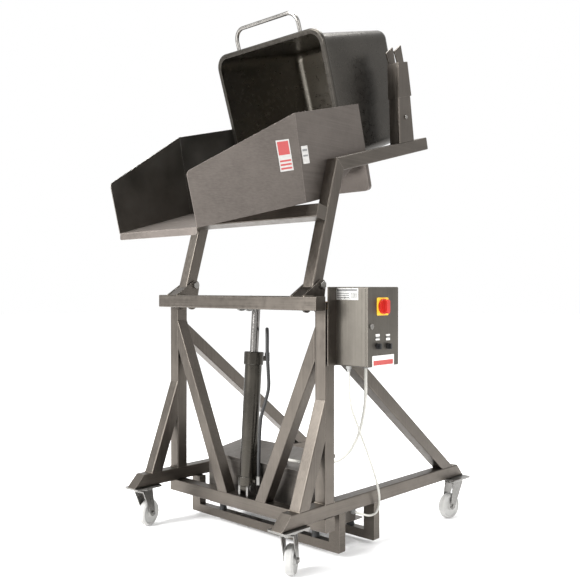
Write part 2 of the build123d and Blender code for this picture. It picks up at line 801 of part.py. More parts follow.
with BuildPart() as gland:
    with BuildSketch(base_plane.offset(BARREL_END)):
        Circle(GLAND_D / 2)
    extrude(amount=GLAND_L)
    chamfer(gland.edges().group_by(SortBy.LENGTH)[-1], 3)
    with BuildSketch(base_plane.offset(BARREL_END - SPIGOT_L)):
        Circle(BARREL_BORE / 2)
    extrude(amount=SPIGOT_L)
    with BuildSketch(base_plane.offset(BARREL_END - SPIGOT_L)):
        Circle(ROD_D / 2 + BEARING_GAP)
    extrude(amount=SPIGOT_L + GLAND_L, mode=Mode.SUBTRACT)
port_level = BARREL_END + GLAND_L / 2
head_port = round_bar(
    on_cylinder(port_level, GLAND_D / 2 - 8, PORT_ANGLE), on_cylinder(port_level, PORT_REACH, PORT_ANGLE), PORT_D
)
save(gland.part + head_port, "cylinder_gland")

with BuildPart() as rod:
    with BuildSketch(base_plane.offset(PISTON_START)):
        Circle(ROD_D / 2)
    extrude(amount=PIN_DISTANCE - PISTON_START)
    with BuildSketch(base_plane.offset(PISTON_START)):
        Circle(BARREL_BORE / 2 - BEARING_GAP)
    extrude(amount=-PISTON_L)
rod_eye = cross_bar(PIN_ROD_X, PIN_ROD_Z, -EYE_W / 2, EYE_W / 2, ROD_EYE_D)
rod_top = cross_bar(PIN_ROD_X, PIN_ROD_Z, -EYE_W / 2, EYE_W / 2, PIN_D)
rod_pin = headed_pin(PIN_ROD_X, PIN_ROD_Z, CLEVIS_OUTER + SIDE_GAP)
save(group(rod.part + rod_eye - rod_top, rod_pin), "piston_rod")

# hose from the head port, up in a loop and down along the barrel to the base port
ELBOW_H = 28.0
HEX_REACH = HEX_AF / 2 / math.cos(math.radians(30)) + 2 * SIDE_GAP


def elbow(port_end, outward):
    """Fitting screwed to a port: a hexagon standing upright just outside it."""
    foot = port_end + outward * HEX_REACH - Vector(0, 0, HEX_AF / 2)
    height = HEX_AF / 2 + ELBOW_H
    return hexagon(tuple(foot), (0, 0, 1), HEX_AF, height), foot + Vector(0, 0, height)


port_out = (on_cylinder(port_level, 2, PORT_ANGLE) - on_cylinder(port_level, 1, PORT_ANGLE)).normalized()
base_out = (on_cylinder(0, 2, BASE_PORT_ANGLE) - on_cylinder(0, 1, BASE_PORT_ANGLE)).normalized()
upper_fitting, hose_start = elbow(on_cylinder(port_level, PORT_REACH, PORT_ANGLE), port_out)
lower_fitting, hose_end = elbow(on_cylinder(BASE_PORT_ALONG, PORT_REACH, BASE_PORT_ANGLE), base_out)
save(group(upper_fitting, lower_fitting), "hose_fittings")
hose_route = [
    tuple(hose_start),
    (hose_start.X, hose_start.Y, 945.0),
    (-278.0, -40.0, 974.0),
    (-306.0, -70.0, 974.0),
    (-325.0, -90.0, 945.0),
    (-324.0, -88.0, 865.0),
    (-313.0, -84.0, 780.0),
    (-304.0, -80.0, 702.0),
    (-315.0, -69.0, 640.0),
    (-334.0, -57.0, 572.0),
    (-344.0, -57.0, 475.0),
    (hose_end.X, hose_end.Y, hose_end.Z + 70),
    tuple(hose_end),
]
save(hose("hydraulic_hose", hose_route, HOSE_D), "hydraulic_hose")

# ================================================================ tipping cradle
arm_up = polar(1, 90 - ARM_TILT)
rail_out = polar(1, RAIL_TILT)
arm_front = (-arm_up[1], arm_up[0])
rail_above = (-rail_out[1], rail_out[0])
ARM_INNER = ARM_OUTER - TUBE
mitre = HALF_T / (1 + arm_front[0] * rail_above[0] + arm_front[1] * rail_above[1])
corner_step = (mitre * (arm_front[0] + rail_above[0]), mitre * (arm_front[1] + rail_above[1]))
OUTER_CORNER = add2((CORNER_X, CORNER_Z), corner_step)
INNER_CORNER = (CORNER_X - corner_step[0], CORNER_Z - corner_step[1])


def down_arm(corner, z):
    """Point where an arm's face, running down from a corner, reaches a height."""
    return (corner[0] - (corner[1] - z) * arm_up[0] / arm_up[1], z)


def along_rail(corner, distance):
    return (corner[0] + distance * rail_out[0], corner[1] + distance * rail_out[1])


near_arm = side_member(
    [down_arm(OUTER_CORNER, ARM_BOTTOM), OUTER_CORNER, INNER_CORNER, down_arm(INNER_CORNER, ARM_BOTTOM)],
    -ARM_OUTER,
    -ARM_INNER,
)
near_arm = near_arm - cross_bar(LUG_EYE_X, LUG_EYE_Z, -ARM_OUTER, -ARM_INNER, LUG_BOLT_D)
save(pair(near_arm), "cradle_arms")

rail_end = add2((CORNER_X, CORNER_Z), polar(UPPER_RAIL_L, RAIL_TILT))
near_upper = side_member(
    [
        INNER_CORNER,
        (rail_end[0] - HALF_T * rail_above[0], rail_end[1] - HALF_T * rail_above[1]),
        (rail_end[0] + HALF_T * rail_above[0], rail_end[1] + HALF_T * rail_above[1]),
        OUTER_CORNER,
    ],
    -ARM_OUTER,
    -ARM_INNER,
)
save(pair(near_upper), "cradle_rails")

# torque beam, shaft and the lugs that hold the arms
beam = member(
    Plane.XY.offset(BEAM_BOTTOM),
    [
        (BEAM_FRONT, -BEAM_HALF_L),
        (BEAM_FRONT, BEAM_HALF_L),
        (BEAM_FRONT + TUBE, BEAM_HALF_L),
        (BEAM_FRONT + TUBE, -BEAM_HALF_L),
    ],
    TUBE,
)
save(beam, "torque_beam")
BEAM_BACK = BEAM_FRONT + TUBE
BEAM_TOP = BEAM_BOTTOM + TUBE
SHAFT_HALF_L = HALF_W - WALL
save(cross_bar(AXIS_X, AXIS_Z, -SHAFT_HALF_L, SHAFT_HALF_L, SHAFT_D), "pivot_shaft")

LUG_BOSS_R = 29.0
beam_room = side_plate(
    [
        (BEAM_FRONT - TUBE, BEAM_TOP),
        (BEAM_BACK, BEAM_TOP),
        (BEAM_BACK, BEAM_BOTTOM - TUBE),
        (BEAM_FRONT - TUBE, BEAM_BOTTOM - TUBE),
    ],
    -HALF_W,
    HALF_W,
)


def lug(y_low):
    plate = hull_plate(
        [
            (BEAM_FRONT + 2, BEAM_TOP + 2, 2),
            (LUG_EYE_X, LUG_EYE_Z, LUG_EYE_R),
            (AXIS_X, AXIS_Z, LUG_BOSS_R),
        ],
        y_low,
        y_low + LUG_T,
        [(LUG_EYE_X, LUG_EYE_Z, LUG_BOLT_D / 2), (AXIS_X, AXIS_Z, SHAFT_D / 2)],
    )
    return plate - beam_room



# sloping web that closes each pair of lugs in front of its arm
eye_reach = Vector(LUG_EYE_X - BEAM_FRONT, LUG_EYE_Z - BEAM_TOP)
web_angle = math.degrees(math.atan2(eye_reach.Y, eye_reach.X) + math.asin(LUG_EYE_R / eye_reach.length))
WEB_T = 6.0
WEB_L = 70.0
web_tip = (BEAM_FRONT, BEAM_TOP)
web_end = add2(web_tip, polar(WEB_L, web_angle))
web_inner_end = add2(web_end, polar(WEB_T, web_angle - 90))
web_inner_tip = add2(web_tip, polar(WEB_T / math.sin(math.radians(web_angle)), 0))
web = side_plate([web_tip, web_end, web_inner_end, web_inner_tip], -ARM_OUTER, -ARM_INNER)
web_room = side_plate(
    [down_arm(OUTER_CORNER, 0), OUTER_CORNER, (0, OUTER_CORNER[1]), (0, 0)], -HALF_W, HALF_W
)
save(group(pair(lug(ARM_OUTER)), pair(lug(ARM_INNER - LUG_T)), pair(web - web_room)), "lugs")

eye_bolt = cross_bar(LUG_EYE_X, LUG_EYE_Z, ARM_INNER - LUG_T, ARM_OUTER + LUG_T, LUG_BOLT_D)
eye_head = hexagon((LUG_EYE_X, ARM_OUTER + LUG_T, LUG_EYE_Z), (0, 1, 0), 1.5 * LUG_BOLT_D, LUG_BOLT_D / 2)
eye_nut = hexagon((LUG_EYE_X, ARM_INNER - LUG_T, LUG_EYE_Z), (0, -1, 0), 1.5 * LUG_BOLT_D, LUG_BOLT_D / 2)

# Two levers join the shaft to the rod.  The rod moves along its chord, not along the
# pin's arc, so the pin has a wide eye to move in.
lever_run = Vector(PIN_ROD_X - AXIS_X, PIN_ROD_Z - AXIS_Z)
LEVER_ANGLE = math.degrees(math.atan2(lever_run.Y, lever_run.X))
EYE_WIDE_FROM = 14.0        # the eye is widest between these two distances in from the lever's end
EYE_WIDE_TO = 25.0
EYE_HALF_W = 21.5
EYE_END_R = PIN_D / 2 + 0.5
LEVER_MID_R = 30.0


def on_lever(inward):
    return add2((AXIS_X, AXIS_Z), polar(lever_run.length - inward, LEVER_ANGLE))


def lever(y_low):
    outline = [(AXIS_X, AXIS_Z, LUG_BOSS_R), (*on_lever(EYE_WIDE_FROM), LEVER_MID_R), (*on_lever(0), ROD_EYE_D / 2)]
    wide_eye = [
        (*on_lever(0), EYE_END_R),
        (*on_lever(EYE_WIDE_FROM), EYE_HALF_W),
        (*on_lever(EYE_WIDE_TO), EYE_HALF_W),
    ]
    plate = hull_plate(outline, y_low, y_low + CHEEK_T, [(AXIS_X, AXIS_Z, SHAFT_D / 2)])
    return plate - hull_plate(wide_eye, y_low, y_low + CHEEK_T)


save(group(lever(CLEVIS_INNER), lever(-CLEVIS_OUTER)), "lever_plates")

# cross-beam lying against the front of the arms
cross_touch = (down_arm(OUTER_CORNER, CROSS_Z)[0], CROSS_Z)
cross_centre = add2(cross_touch, (HALF_T * arm_front[0], HALF_T * arm_front[1]))
cross_plane = Plane(
    origin=(cross_centre[0], 0, cross_centre[1]), x_dir=(0, 1, 0), z_dir=(arm_up[0], 0, arm_up[1])
).offset(-HALF_T)
cross_outline = [(-ARM_OUTER, -HALF_T), (ARM_OUTER, -HALF_T), (ARM_OUTER, HALF_T), (-ARM_OUTER, HALF_T)]
save(member(cross_plane, cross_outline, TUBE), "cradle_crossbeam")

# ================================================================ latch brackets
# Each leans back from the end of its rail: a post, a box sleeve and two pointed cheeks.
POST_FOOT = (215.0, 333.0)      # where the post stands on the rail
POST_HEAD = (207.0, 300.0)
SLEEVE = [(204.0, 2079.0), (308.0, 2107.0), (274.0, 2266.0), (199.0, 2248.0)]
CHEEK_FOOT = (199.5, 249.0)
CHEEK_TIPS = [(225.0, 2336.0), (175.0, 2297.0)]
SLEEVE_T = 2.0


def on_rail(x):
    return (x, OUTER_CORNER[1] + (x - OUTER_CORNER[0]) * rail_out[1] / rail_out[0])


def on_line(start, end, x):
    return (x, start[1] + (x - start[0]) * (end[1] - start[1]) / (end[0] - start[0]))


near_latch_post = side_member(
    [
        on_line(SLEEVE[0], SLEEVE[1], POST_HEAD[0]),
        on_rail(POST_FOOT[0]),
        on_rail(POST_FOOT[1]),
        on_line(SLEEVE[0], SLEEVE[1], POST_HEAD[1]),
    ],
    -ARM_OUTER,
    -ARM_INNER,
)
cheek_outline = [on_line(SLEEVE[3], SLEEVE[2], x) for x in CHEEK_FOOT] + CHEEK_TIPS
save(pair(near_latch_post), "latch_posts")
near_sleeve = side_plate(SLEEVE, -ARM_OUTER - SLEEVE_T, -ARM_INNER + SLEEVE_T)
cheek_low = side_plate(cheek_outline, -ARM_OUTER + SLEEVE_T, -ARM_OUTER + SLEEVE_T + LUG_T)
cheek_high = side_plate(cheek_outline, -ARM_INNER - SLEEVE_T - LUG_T, -ARM_INNER - SLEEVE_T)
save(group(pair(near_sleeve), pair(cheek_low), pair(cheek_high)), "latch_heads")
latch_bolt = (261.0, 1995.0)
latch_head = hexagon((latch_bolt[0], ARM_OUTER, latch_bolt[1]), (0, 1, 0), BOLT_HEAD_D, BOLT_HEAD_T)
save(group(pair(eye_bolt + eye_head + eye_nut), pair(latch_head)), "cradle_bolts")

# ================================================================ bin
bin_out = polar(1, BIN_TILT)
mouth = Plane(origin=(BIN_X, 0, BIN_Z), x_dir=(0, 1, 0), z_dir=(bin_out[0], 0, bin_out[1]))
inwards = Axis(mouth.origin, mouth.z_dir)
BODY_W = BIN_W - 2 * RIM + 4
BODY_H = BIN_H - 2 * RIM + 4
RIM_DEPTH = 22.0
BODY_R = 60.0
BOTTOM_R = 50.0
SOLE_R = 40.0


def bin_shape(inset, depth):
    """The bin's outer form, or its inside when inset by the wall."""
    with BuildPart() as form:
        with BuildSketch(mouth):
            with Locations((0, -BIN_H / 2)):
                RectangleRounded(BODY_W - 2 * inset, BODY_H - 2 * inset, BODY_R - inset)
        with BuildSketch(mouth.offset(depth)):
            with Locations((0, -BIN_H / 2)):
                RectangleRounded(
                    BODY_W - 2 * (inset + BIN_TAPER), BODY_H - 2 * (inset + BIN_TAPER), BOTTOM_R - inset
                )
        loft()
        fillet(form.faces().sort_by(inwards)[-1].edges(), SOLE_R - inset)
    return form.part


with BuildPart() as rim:
    with BuildSketch(mouth):
        with Locations((0, -BIN_H / 2)):
            RectangleRounded(BIN_W, BIN_H, RIM_R)
    extrude(amount=RIM_DEPTH)
    front_edges = rim.faces().sort_by(inwards)[0].edges()
    back_edges = rim.faces().sort_by(inwards)[-1].edges()
    fillet(front_edges + back_edges, 7)
bin_body = bin_shape(0, BIN_DEPTH) + rim.part - bin_shape(BIN_WALL, BIN_DEPTH - BIN_WALL)
save(bin_body, "bin_body")

HANDLE_DEPTH = RIM_DEPTH + HANDLE_D / 2 + SIDE_GAP
handle_foot = -RIM + 2 - HANDLE_DEPTH * BIN_TAPER / BIN_DEPTH + 1.0
bow_plane = mouth.offset(HANDLE_DEPTH)
bow_points = [
    (-HANDLE_HALF, handle_foot),
    (-HANDLE_HALF, HANDLE_RISE),
    (HANDLE_HALF, HANDLE_RISE),
    (HANDLE_HALF, handle_foot),
]
bow_route = [bow_plane.from_local_coords(Vector(x, y, 0)) for x, y in bow_points]
with BuildPart() as handle:
    with BuildLine() as bow:
        FilletPolyline(*bow_route, radius=HANDLE_R)
    with BuildSketch(Plane(origin=bow_route[0], z_dir=mouth.y_dir)):
        Circle(HANDLE_D / 2)
    sweep(path=bow.wires()[0])
save(handle.part, "bin_handle")

# rest panel under the bin, between the upper rails
REST_AT = 234.0             # along the rail from its inner corner
REST_DROP = 127.0
REST_T = 22.0
REST_R = 10.0
BIN_SEAT_GAP = 0.3
rest_foot = along_rail(INNER_CORNER, REST_AT)
wall_start = mouth.from_local_coords(Vector(0, -BIN_H / 2 - BODY_H / 2, 0))
wall_end = mouth.from_local_coords(Vector(0, -BIN_H / 2 - BODY_H / 2 + BIN_TAPER, BIN_DEPTH))
wall_slope = (wall_end.Z - wall_start.Z) / (wall_end.X - wall_start.X)


def rest_point(step, drop):
    return add2(add2(rest_foot, polar(step, RAIL_TILT)), polar(drop, RAIL_TILT - 90))


def rest_top(step):
    """Top of the rest panel, just under the bin's sloping wall."""
    foot = rest_point(step, 0)
    rise = wall_start.Z - BIN_SEAT_GAP + wall_slope * (foot[0] - wall_start.X) - foot[1]
    height = rise / (rail_above[1] - wall_slope * rail_above[0])
    return rest_point(step, -height)


rest_panel = side_plate(
    [rest_point(0, REST_DROP), rest_point(REST_T, REST_DROP), rest_top(REST_T), rest_top(0)],
    -ARM_INNER,
    ARM_INNER,
)
rest_panel = rest_panel.fillet(REST_R * 2.5, rest_panel.edges().filter_by(
    lambda edge: abs(edge.length - REST_T) < 1 and edge.center().Z < rest_foot[1] - REST_DROP / 2
))
save(rest_panel, "rest_panel")

# ================================================================ chute
CHUTE_OUT = ARM_INNER
CHUTE_IN = CHUTE_OUT - SHEET
fold_run = Vector(FOLD_FOOT[0] - FOLD_TOP[0], FOLD_FOOT[1] - FOLD_TOP[1]).normalized()
fold_out = (fold_run.Y, -fold_run.X)
lip_reach = (LIP_X - FOLD_TOP[0]) * fold_out[0] + (LIP_Z - FOLD_TOP[1]) * fold_out[1]
SPLAY = (CHUTE_IN - LIP_Y) / lip_reach
CHUTE_R = 25.0


def splayed(point, y=CHUTE_IN):
    """A point of the front plate: it comes in with its distance from the fold."""
    reach = (point[0] - FOLD_TOP[0]) * fold_out[0] + (point[1] - FOLD_TOP[1]) * fold_out[1]
    return (point[0], -(y - SPLAY * reach), point[1])


rear_plate = side_plate(
    [FOLD_TOP, REAR_TOP, REAR_FOOT, FLOOR_REAR, FOLD_FOOT], -CHUTE_OUT, -CHUTE_IN
)
front_plate = panel(
    [splayed(FOLD_TOP), splayed(FOLD_FOOT), splayed((LIP_X, LIP_Z)), splayed(FRONT_TOP)], -SHEET, CHUTE_R, (3,)
)
save(group(rear_plate, front_plate), "chute_near_side")
save(group(mirrored(rear_plate), mirrored(front_plate)), "chute_far_side")

FLOOR_T = SHEET
FLOOR_GAP = 0.4             # weld gap between the floor and the side plates
lip_near = splayed((LIP_X, LIP_Z), CHUTE_IN - FLOOR_GAP)
fold_near = (FOLD_FOOT[0], -CHUTE_IN + FLOOR_GAP, FOLD_FOOT[1])
rear_near = (FLOOR_REAR[0], -CHUTE_IN + FLOOR_GAP, FLOOR_REAR[1])
floor_sheet = panel(
    [
        lip_near,
        fold_near,
        rear_near,
        (rear_near[0], -rear_near[1], rear_near[2]),
        (fold_near[0], -fold_near[1], fold_near[2]),
        (lip_near[0], -lip_near[1], lip_near[2]),
    ],
    FLOOR_T,
)

# lip turned down along the front of the floor, and the apron behind it
lip_corners = [
    lip_near,
    (lip_near[0], -lip_near[1], lip_near[2]),
    (lip_near[0], -lip_near[1], lip_near[2] - LIP_DROP),
    (lip_near[0], lip_near[1], lip_near[2] - LIP_DROP),
]
lip_sheet = panel(lip_corners, -FLOOR_T, LIP_DROP / 3, (2, 3))
APRON_TOP = 1700.0
apron_foot = down_arm(OUTER_CORNER, FLOOR_REAR[1])
apron_head = down_arm(OUTER_CORNER, APRON_TOP)
apron = side_plate(
    [
        FLOOR_REAR,
        (FLOOR_REAR[0] + apron_head[0] - apron_foot[0], APRON_TOP),
        (FLOOR_REAR[0] + apron_head[0] - apron_foot[0] + FLOOR_T, APRON_TOP),
        (FLOOR_REAR[0] + FLOOR_T, FLOOR_REAR[1]),
    ],
    -CHUTE_IN + FLOOR_GAP,
    CHUTE_IN - FLOOR_GAP,
)
save(group(floor_sheet, lip_sheet, apron), "chute_floor")

# ================================================================ control box
BOX_CORNER = 6.0
BOX_MID_X = (BOX_X0 + BOX_X1) / 2
BOX_MID_Z = (BOX_Z0 + BOX_Z1) / 2
BOX_W = BOX_X1 - BOX_X0
BOX_H = BOX_Z1 - BOX_Z0

with BuildPart() as enclosure:
    with BuildSketch(Plane.XZ.offset(-BOX_BACK_Y)):
        with Locations((BOX_MID_X, BOX_MID_Z)):
            RectangleRounded(BOX_W, BOX_H, BOX_CORNER)
    extrude(amount=BOX_BACK_Y - BOX_FRONT_Y)
    with BuildSketch(Plane.XZ.offset(-BOX_BACK_Y + BOX_SHEET)):
        with Locations((BOX_MID_X, BOX_MID_Z)):
            RectangleRounded(BOX_W - 2 * BOX_SHEET, BOX_H - 2 * BOX_SHEET, BOX_CORNER - BOX_SHEET)
    extrude(amount=BOX_BACK_Y - BOX_FRONT_Y, mode=Mode.SUBTRACT)
save(enclosure.part, "enclosure")

# bracket welded to the near post, set off from it so that the torque beam's end clears it
SPACER_H = 40.0
bracket_web = block(
    (POST_FRONT, BOX_MID_X), (BOX_BACK_Y, BOX_BACK_Y + BRACKET_T), (BOX_Z0, BOX_Z1), 1
)
spacers = [
    block((POST_FRONT + HALF_T / 2, POST_BACK - HALF_T / 2), (BOX_BACK_Y + BRACKET_T, -HALF_W), (z, z + SPACER_H))
    for z in (BOX_Z0 + SPACER_H, POST_TOP - 2.5 * SPACER_H)
]
save(group(bracket_web, *spacers), "control_bracket")

# inside: mounting plate, contactors and a terminal row
GEAR_PLATE_Y = BOX_BACK_Y - BOX_SHEET - 10.0
gear_plate = block(
    (BOX_X0 + 20, BOX_X1 - 20), (GEAR_PLATE_Y - BOX_SHEET, GEAR_PLATE_Y), (BOX_Z0 + 25, BOX_Z1 - 25)
)
studs = [
    cross_bar(x, z, GEAR_PLATE_Y, BOX_BACK_Y - BOX_SHEET, 8)
    for x in (BOX_X0 + 30, BOX_X1 - 30)
    for z in (BOX_Z0 + 35, BOX_Z1 - 35)
]
GEAR_Y = GEAR_PLATE_Y - BOX_SHEET
contactors = [block((x, x + 46), (GEAR_Y - 75, GEAR_Y), (BOX_Z0 + 150, BOX_Z0 + 225), 2) for x in (-325.0, -270.0)]
transformer = block((-220.0, -175.0), (GEAR_Y - 70, GEAR_Y), (BOX_Z0 + 150, BOX_Z0 + 215), 3)
terminals = block((-330.0, -175.0), (GEAR_Y - 42, GEAR_Y), (BOX_Z0 + 50, BOX_Z0 + 95), 2)
save(group(gear_plate, *studs, *contactors, transformer, terminals), "control_gear")

# door with its turned-in rim, hinged on the right
DOOR_BACK = BOX_FRONT_Y - DOOR_GAP
DOOR_FACE = DOOR_BACK - DOOR_T
HINGE_X = BOX_X1 + 5.0
HINGE_Y = BOX_FRONT_Y - DOOR_GAP / 2
HINGE_PIN_D = 6.0
KNUCKLE_D = 10.0
KNUCKLE_L = 40.0
HINGE_ZS = (BOX_Z0 + 50.0, BOX_Z1 - 50.0)

with BuildPart() as door:
    with BuildSketch(Plane.XZ.offset(-DOOR_BACK)):
        with Locations((BOX_MID_X, BOX_MID_Z)):
            RectangleRounded(BOX_W, BOX_H, BOX_CORNER)
    extrude(amount=DOOR_T)
    with BuildSketch(Plane.XZ.offset(-DOOR_BACK)):
        with Locations((BOX_MID_X, BOX_MID_Z)):
            RectangleRounded(BOX_W - 2 * BOX_SHEET, BOX_H - 2 * BOX_SHEET, BOX_CORNER - BOX_SHEET)
    extrude(amount=DOOR_T - BOX_SHEET, mode=Mode.SUBTRACT)
    fillet(door.faces().sort_by(Axis.Y)[0].edges(), 1.5)

# control positions on the door: x, z
ISOLATOR = (-259.0, 1090.0)
ISOLATOR_PLATE = (78.0, 74.0)
KNOB_D = 62.0
KNOB_T = 30.0
LOCK = (-334.0, 1009.0)
LEFT_SELECTOR = (-293.0, 927.0)
RIGHT_SELECTOR = (-222.0, 924.0)
SELECTOR_D = 30.0
SELECTOR_SHAFT = 22.0
LEGEND = 26.0
LEGEND_RISE = 37.0
LABEL = (-255.0, 864.0)
LABEL_SIZE = (148.0, 48.0)
SPINDLE_D = 12.0
PLATE_T = 2.0


def through_door(at, diameter):
    return cross_bar(at[0], at[1], DOOR_FACE - PLATE_T, DOOR_BACK, diameter)


door_piece = door.part - through_door(ISOLATOR, SPINDLE_D + 2 * SIDE_GAP)
door_piece = door_piece - through_door(LOCK, SPINDLE_D + 2 * SIDE_GAP)
for selector in (LEFT_SELECTOR, RIGHT_SELECTOR):
    door_piece = door_piece - through_door(selector, SELECTOR_SHAFT)


def knuckle(z_low, z_high):
    """Round hinge knuckle on the door's edge."""
    return round_bar((HINGE_X, HINGE_Y, z_low), (HINGE_X, HINGE_Y, z_high), KNUCKLE_D, HINGE_PIN_D + 2 * BEARING_GAP)


door_knuckles = [knuckle(z, z + KNUCKLE_L / 2) for z in HINGE_ZS]
box_knuckles = [knuckle(z - KNUCKLE_L / 2, z - SIDE_GAP) for z in HINGE_ZS]
hinge_pins = [
    round_bar((HINGE_X, HINGE_Y, z - KNUCKLE_L / 2), (HINGE_X, HINGE_Y, z + KNUCKLE_L / 2), HINGE_PIN_D)
    for z in HINGE_ZS
]
save(group(door_piece, *door_knuckles), "control_door")
save(group(*box_knuckles, *hinge_pins), "door_hinges")


def face_plate(at, size, corner=3.0, bore=0.0):
    """Thin plate on the outside of the door."""
    with BuildPart() as plate:
        with BuildSketch(Plane.XZ.offset(-DOOR_FACE)):
            with Locations(at):
                RectangleRounded(size[0], size[1], corner)
                if bore:
                    Circle(bore / 2, mode=Mode.SUBTRACT)
        extrude(amount=PLATE_T)
    return plate.part


plates = [face_plate(ISOLATOR, ISOLATOR_PLATE, 6, SPINDLE_D + 2 * SIDE_GAP)]
plates += [face_plate((x, z + LEGEND_RISE), (LEGEND, LEGEND), 2) for x, z in (LEFT_SELECTOR, RIGHT_SELECTOR)]
plates += [face_plate(LABEL, LABEL_SIZE, 2)]
save(group(*plates), "door_plates")

with BuildPart() as knob:
    with BuildSketch(Plane.XZ.offset(-DOOR_FACE + PLATE_T + SIDE_GAP)):
        with Locations(ISOLATOR):
            Circle(KNOB_D / 2)
    extrude(amount=KNOB_T / 3)
    with BuildSketch(Plane.XZ.offset(-DOOR_FACE + PLATE_T + SIDE_GAP + KNOB_T / 3)):
        with Locations(ISOLATOR):
            RectangleRounded(KNOB_D / 3, KNOB_D * 0.92, KNOB_D / 8)
    extrude(amount=KNOB_T * 2 / 3)
spindle_end = DOOR_BACK + 3.0
save(
    knob.part + cross_bar(*ISOLATOR, DOOR_FACE - PLATE_T - SIDE_GAP, spindle_end, SPINDLE_D), "isolator_knob"
)


def selector_switch(at):
    """Black turn switch: bezel ring, and a grip that turns in it."""
    with BuildPart() as grip:
        with BuildSketch(Plane.XZ.offset(-DOOR_FACE + SIDE_GAP)):
            with Locations(at):
                Circle(SELECTOR_D / 2 - 2)
        extrude(amount=PLATE_T * 4)
        with BuildSketch(Plane.XZ.offset(-DOOR_FACE + SIDE_GAP + PLATE_T * 4)):
            with Locations(at):
                RectangleRounded(9, SELECTOR_D - 6, 3)
        extrude(amount=12)
    stem = cross_bar(*at, DOOR_FACE - SIDE_GAP, DOOR_BACK + 30, SELECTOR_SHAFT - 2 * SIDE_GAP)
    return grip.part + stem


save(selector_switch(LEFT_SELECTOR), "left_selector")
save(selector_switch(RIGHT_SELECTOR), "right_selector")
lock_head = cross_bar(*LOCK, DOOR_FACE - 5, DOOR_FACE - SIDE_GAP, SPINDLE_D * 1.8)
lock_body = cross_bar(*LOCK, DOOR_FACE - SIDE_GAP, DOOR_BACK + 8, SPINDLE_D)
lock_slot = block((LOCK[0] - 1.5, LOCK[0] + 1.5), (DOOR_FACE - 5, DOOR_FACE - 3), (LOCK[1] - 5, LOCK[1] + 5))
save(lock_head + lock_body - lock_slot, "door_lock")

# ================================================================ cables


def cable_gland(foot, direction, cable, body_af, height=GLAND_H):
    """Hexagonal body and domed cap, bored for its cable's end to butt against."""
    body = hexagon(foot, direction, body_af, height * 0.5)
    tip = tuple(Vector(*foot) + Vector(*direction) * height * 0.5)
    end = tuple(Vector(*foot) + Vector(*direction) * height)
    return body + round_bar(tip, end, (body_af + cable) / 2)


thin_gland = cable_gland((*THIN_START, BOX_Z0), (0, 0, -1), CABLE_THIN, 20)
thick_gland = cable_gland((*THICK_START, BOX_Z0), (0, 0, -1), CABLE_THICK, 27)
pack_side_gland = cable_gland(THIN_END, (0, -1, 0), CABLE_THIN, 20)
pack_top_gland = cable_gland(THICK_END, (0, -1, 0), CABLE_THICK, 27)
save(group(thin_gland, thick_gland, pack_side_gland, pack_top_gland), "cable_glands")
thin_route = [
    (*THIN_START, BOX_Z0 - GLAND_H),
    (*THIN_START, BOX_Z0 - GLAND_H - 45),
    (-332.0, -583.0, 715.0),
    (-313.0, -580.0, 655.0),
    (-270.0, -575.0, 592.0),
    (-230.0, -570.0, 522.0),
    (-192.0, -566.0, 463.0),
    (-158.0, -562.0, 405.0),
    (-122.0, -556.0, 345.0),
    (-92.0, -550.0, 288.0),
    (-70.0, -545.0, 228.0),
    (-64.0, -530.0, 165.0),
    (-74.0, -495.0, 138.0),
    (THIN_END[0], PACK_NEAR - GLAND_H - 28, THIN_END[2]),
    (THIN_END[0], PACK_NEAR - GLAND_H, THIN_END[2]),
]
save(hose("thin_cable", thin_route, CABLE_THIN), "thin_cable")
thick_route = [
    (*THICK_START, BOX_Z0 - GLAND_H),
    (*THICK_START, BOX_Z0 - GLAND_H - 60),
    (-187.0, -557.0, 695.0),
    (-191.0, -549.0, 617.0),
    (-203.0, -532.0, 527.0),
    (-222.0, -500.0, 455.0),
    (-240.0, -462.0, 416.0),
    (-253.0, -424.0, 400.0),
    (-263.0, -386.0, 387.0),
    (-270.0, -340.0, 379.0),
    (THICK_END[0], -290.0, THICK_END[2]),
    (THICK_END[0], THICK_END[1] - GLAND_H, THICK_END[2]),
]
save(hose("thick_cable", thick_route, CABLE_THICK), "thick_cable")

# ================================================================ frame and files
# The origin is the middle of the machine's floor area, cables left out.
CABLES = ("thin_cable", "thick_cable")
extent = group(*[solid for label, solid in pieces.items() if label not in CABLES]).bounding_box()
to_origin = Pos(-extent.center().X, -extent.center().Y, -extent.min.Z)
print("origin at", [round(value, 4) for value in (extent.center().X, extent.center().Y, extent.min.Z)])
for label, solid in pieces.items():
    placed = to_origin * group(solid)
    placed.label = label
    export_step(placed, f"parts/{label}.step")
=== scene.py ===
"""A mobile hydraulic bin tipper, tipped: its finishes, cables, labels, weld beads, light and camera."""

import math

import bmesh
import bpy
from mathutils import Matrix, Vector


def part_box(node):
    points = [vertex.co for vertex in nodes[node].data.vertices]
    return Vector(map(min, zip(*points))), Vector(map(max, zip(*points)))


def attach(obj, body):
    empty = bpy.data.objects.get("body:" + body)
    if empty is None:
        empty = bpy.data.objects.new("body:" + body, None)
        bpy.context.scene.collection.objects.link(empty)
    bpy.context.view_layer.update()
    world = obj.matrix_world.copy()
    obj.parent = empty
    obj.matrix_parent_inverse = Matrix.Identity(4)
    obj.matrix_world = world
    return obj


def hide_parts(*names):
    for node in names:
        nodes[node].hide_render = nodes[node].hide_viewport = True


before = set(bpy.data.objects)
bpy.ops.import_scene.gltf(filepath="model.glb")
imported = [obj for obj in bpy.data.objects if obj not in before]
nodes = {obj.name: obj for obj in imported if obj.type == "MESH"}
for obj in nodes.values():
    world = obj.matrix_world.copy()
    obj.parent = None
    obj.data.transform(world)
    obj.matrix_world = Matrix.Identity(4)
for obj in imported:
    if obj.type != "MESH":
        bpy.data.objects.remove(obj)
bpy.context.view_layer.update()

# The part is drawn about the middle of its base, in millimetres.  This is where that point is in the frame.
DRAWING_ORIGIN = Vector((0.1319871, 0.08415, 0.0))
